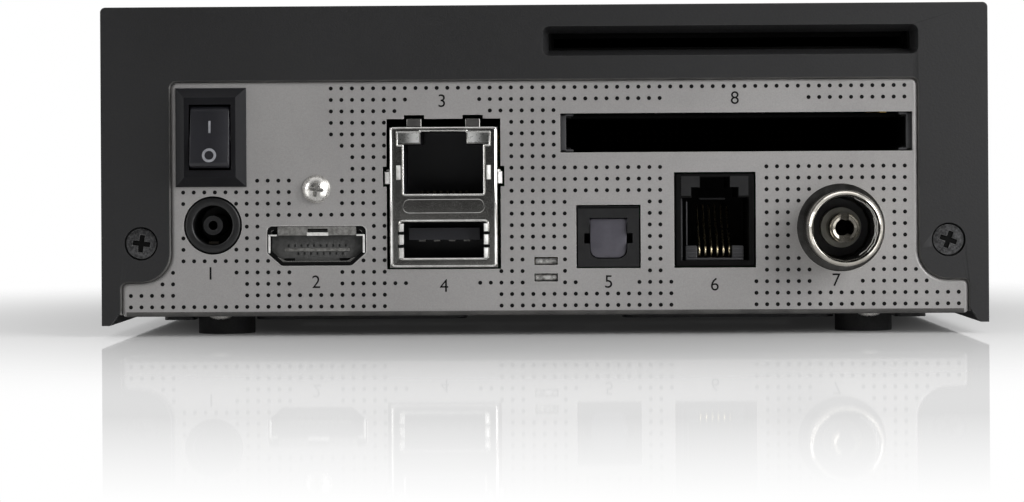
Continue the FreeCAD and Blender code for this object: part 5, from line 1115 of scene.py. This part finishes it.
def makeShutter():
    # sprung dust flap with rounded lower corners, hung on its pin
    look = shutterLook
    centre = middleOf("optical_emitter")[0]
    front = nodeSpan("optical_shutter", 1)[1]
    low, high = nodeSpan("optical_shutter", 2)
    ends = nodeSpan("optical_shutter", 0)
    half, top = look["width"] / 2, high - 0.02
    outline = rounded([(centre - half, low, look["footRound"]), (centre + half, low, look["footRound"]),
                       (centre + half, top, look["topRound"]), (centre - half, top, look["topRound"])])
    along, up = front - look["pinSet"], high - look["pin"] / 2 - 0.02
    pin = [[(across, along + y, up + z) for y, z in arc((0, 0), look["pin"] / 2, 0, 345, 23)]
           for across in (ends[0] + 0.02, ends[1] - 0.02)]
    flap = joinMeshes([slabMesh(outline, front - look["thick"], front, look["soft"]), loftMesh(pin)])
    piece = makePiece("shutter_flap", flap, "waxyAcetal", 35, "shutter")
    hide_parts("optical_shutter")
    # rounded lower corners of the opening behind the flap's own
    around = frameBox(centre - half - 0.13, centre + half + 0.13, low - 0.2, low + 1.5)
    corners = slabMesh(around, front - 0.7, front + 0.45)
    mouth = slabMesh(grownOutline(outline, look["cornerProud"]), front - 2, front + 2)
    makePiece("optical_corners", carve(corners, [mouth]), "filledPbt")
    # a black strip over the body: painted shade in the gap
    left, right = nodeSpan("optical_body", 0)
    face = nodeSpan("optical_body", 1)[1]
    top = nodeSpan("optical_body", 2)[1]
    gap = slabMesh(frameBox(left + 0.1, right - 0.1, top - look["gap"], top - 0.05), face - 0.1, face + 0.03)
    makePiece("optical_gap_shade", gap, "blackPolymer")


makeShutter()
print("optical socket ready")


serial = {
    "blocks": (2.75, 4.55, 11.6, 13.85, 55.2, 57.6),  # inner and outer reach, low, high, back, front
    # reach to both sides, low, high, back, front, rounding
    "bars": [(4.5, 11.6, 11.95, 56.6, 58.0, 0.1), (2.05, 21.1, 21.35, 49.5, 52.0, 0.08)],
    "lines": [(5.2, 11.2, 21.3), (4.4, 14.0, 20.8)],  # mould lines down the near wall
    "lineDepth": (57.6, 58.4),
    # reach of the step, the foot and the outside, then low, step, high
    "litPlates": (2.4, 3.75, 5.25, 21.75, 23.1, 24.8),
    "wirePitch": 0.95, "wireCount": 6, "wireWidth": 0.34,
    "wirePath": [(47.2, 11.85), (54.6, 11.85), (56.6, 12.2), (57.0, 13.3), (55.8, 14.3), (52.0, 17.4),
                 (49.6, 20.2)],  # along, up
}


def makeSerialInside():
    # the comb of sprung wires, and the two blocks that hold its ends
    centre = middleOf("serial_contacts")[0]
    inner, outer, low, high, back, front = serial["blocks"]
    meshes = []
    for side in (-1, 1):
        meshes.append(slabMesh(sideBox(centre, side, inner, outer, low, high, 0.12), back, front, 0.1))
        # three fine ribs on the face of each block
        for share in (0.25, 0.5, 0.75):
            up = low + (high - low) * share
            rib = sideBox(centre, side, inner + 0.1, outer - 0.1, up - 0.08, up + 0.08, 0.05)
            meshes.append(slabMesh(rib, front - 0.05, front + 0.08, 0.04))
    for reach, low, high, back, front, soft in serial["bars"]:
        meshes.append(slabMesh(frameBox(centre - reach, centre + reach, low, high, 0.1), back, front, soft))
    for across, low, high in serial["lines"]:
        line = frameBox(centre + across - 0.09, centre + across + 0.09, low, high)
        meshes.append(slabMesh(line, *serial["lineDepth"], 0.05))
    makePiece("serial_blocks", joinMeshes(meshes), "greyAbs", 40)
    # the two upper corners of the face are drawn paler than its dead black frame: painted light where they
    # catch more of it
    face = nodeSpan("serial_jack", 1)[1]
    inner, foot, outer, low, step, high = serial["litPlates"]
    litPlates = []
    for side in (-1, 1):
        shape = [(inner, step), (foot, step), (foot, low), (outer, low), (outer, high), (inner, high)]
        outline = [Vector((centre + side * x, z)) for x, z in shape]
        litPlates.append(slabMesh(outline if side > 0 else outline[::-1], face - 0.1, face + 0.03))
    makePiece("serial_lit_corners", joinMeshes(litPlates), "filledPbt")
    curve = bpy.data.curves.new("wires", "CURVE")
    curve.dimensions = "3D"
    curve.bevel_depth = serial["wireWidth"] / 2 * mm
    curve.bevel_resolution = 3
    curve.use_fill_caps = True
    for k in range(serial["wireCount"]):
        across = centre + (k - (serial["wireCount"] - 1) / 2) * serial["wirePitch"]
        path = curve.splines.new("NURBS")
        path.points.add(len(serial["wirePath"]) - 1)
        for point, (along, up) in zip(path.points, serial["wirePath"]):
            point.co = (across * mm, along * mm, up * mm, 1.0)
        path.order_u = 3
        path.use_endpoint_u = True
    holder = bpy.data.objects.new("wires", curve)
    wires = bpy.data.meshes.new_from_object(holder)
    bpy.data.objects.remove(holder)
    piece = makePiece("serial_wires", wires, "goldFlash", 60)
    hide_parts("serial_contacts")


makeSerialInside()
print("serial jack ready")


cardMouth = {"opening": (-57.4, -1.2, 44.85, 47.6), "depth": 4.0, "soft": 0.2}  # left, right, low, high


def makeCardMouth():
    # the reader again, with the wide throat that leads a card in
    face = nodeSpan("card_reader", 1)[1]
    throat = slabMesh(frameBox(*cardMouth["opening"], 0.2), face - cardMouth["depth"], face + 1.0)
    reader = carve(nodes["card_reader"].data.copy(), [throat])
    piece = makePiece("card_throat", reader, "blackPolymer")
    softenEdges(piece, cardMouth["soft"])
    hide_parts("card_reader")


makeCardMouth()
print("card reader ready")


brackets = {"left": -57.7, "right": -2.7, "low": 28.75, "high": 34.7, "bar": 0.85, "hook": 2.0, "thick": 0.35,
            "back": 57.3, "front": 58.2}


def makeBrackets():
    # corner guides for the module, at both ends of its slot
    look = brackets
    low, high, thick = look["low"], look["high"], look["thick"]
    parts = ((look["bar"], low, high), (look["hook"], low, low + thick), (look["hook"], high - thick, high))
    meshes = []
    for end, side in ((look["left"], 1), (look["right"], -1)):
        for reach, foot, head in parts:
            guide = sideBox(end, side, 0.0, reach, foot, head, 0.08)
            meshes.append(slabMesh(guide, look["back"], look["front"], 0.08))
    makePiece("slot_guides", joinMeshes(meshes), "greyAbs", 40)


makeBrackets()
print("slot guides ready")


antenna = {
    "outer": 5.9, "bore": 5.2, "throat": 3.15, "root": 55.6,
    "nose": [(5.9, 0.9), (5.88, 0.7), (5.80, 0.53), (5.68, 0.37), (5.54, 0.21), (5.40, 0.08), (5.28, 0.0)],
    "lipGlints": [(4.86, 1.5, -72, 20), (4.72, 1.9, -20, 62), (4.98, 0.7, -50, 48)],  # radius, down, from, to
    "lipGlintWidth": 0.13,
    "facets": 14, "linerFoot": 4.78, "linerSet": 0.9,
    "washer": (1.1, -1.6, -1.0),  # how far it stands out, back, front
    "contact": 2.35, "contactBore": 1.28, "slitDepth": 4.5,
    "slits": [(1.3, 0.0, 4.0), (1.8, -4.0, 0.0)],  # width, low, high
}


def makeAntenna():
    # turned barrel with a rolled nose, a sprung liner folded into flats, and a split centre contact
    look = antenna
    centre = middleOf("antenna_shell")
    back, tip = nodeSpan("antenna_shell", 1)
    outer, bore, throat, root = look["outer"], look["bore"], look["throat"], look["root"]
    nose = [(radius, tip - down) for radius, down in look["nose"]]
    profile = [(outer, back)] + nose + [(bore + 0.02, tip - 0.02), (bore, tip - 0.2), (bore, root),
                                        (throat, root), (throat, back)]
    barrel = makePiece("antenna_barrel", loftMesh(turned(centre, profile, 96), closed=True),
                       "platedNickel", 30)
    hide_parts("antenna_shell")
    foot, mouth = look["linerFoot"], tip - look["linerSet"]
    profile = [(bore - 0.03, root + 0.9), (bore - 0.03, mouth), (bore - 0.12, mouth), (foot, root + 1.1),
               (foot - 0.22, root + 0.9)]
    makePiece("antenna_liner", loftMesh(turned(centre, profile, look["facets"]), closed=True),
              "dullNickel", 15)
    # the washer's darkness also stands in for the shade in the ring of the panel hole round the barrel
    proud, start, end = look["washer"]
    profile = [(outer + 0.02, panelFace + start), (outer + 0.02, panelFace + end),
               (outer + proud, panelFace + end), (outer + proud, panelFace + start)]
    washer = loftMesh(turned(centre, profile), closed=True)
    makePiece("antenna_washer", washer, "phosphatedSteel", 30)
    # the liner's sprung edges along the far wall: thin near-white ridges, painted highlight
    half = look["lipGlintWidth"] / 2
    lipGlints = []
    for radius, down, start, end in look["lipGlints"]:
        edge = tip - down
        section = [(radius - half, edge), (radius, edge + half), (radius + half, edge), (radius, edge - half)]
        spokes = arc((0, 0), 1.0, 180 + start, 180 + end, 5)
        lipGlints.append(loftMesh([[(centre[0] + x * reach, along, centre[1] + z * reach)
                               for reach, along in section] for x, z in spokes]))
    makePiece("antenna_lip_glints", joinMeshes(lipGlints), "glintTin")
    profile = [(throat + 0.02, root), (throat + 0.02, root + 0.85), (bore - 0.05, root + 0.85),
               (bore - 0.05, root)]
    base = loftMesh(turned(centre, profile), closed=True)
    makePiece("antenna_base", base, "greyAbs", 30)
    back, tip = nodeSpan("antenna_contact", 1)
    outer, inner = look["contact"], look["contactBore"]
    profile = [(outer, back), (outer, tip - 0.35), (outer - 0.05, tip - 0.12), (outer - 0.18, tip),
               (outer - 0.36, tip - 0.02), (outer - 0.42, tip - 0.16), (outer - 0.5, tip - 0.08),
               (inner + 0.2, tip - 0.3), (inner, tip - 0.9), (inner, back)]
    slits = []
    for width, low, high in look["slits"]:
        gap = frameBox(centre[0] - width / 2, centre[0] + width / 2, centre[1] + low, centre[1] + high)
        slits.append(slabMesh(gap, tip - look["slitDepth"], tip + 1.0))
    sleeve = carve(loftMesh(turned(centre, profile), closed=True), slits)
    collet = makePiece("antenna_collet", sleeve, "dullNickel", 30)
    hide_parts("antenna_contact")


makeAntenna()
print("antenna socket ready")
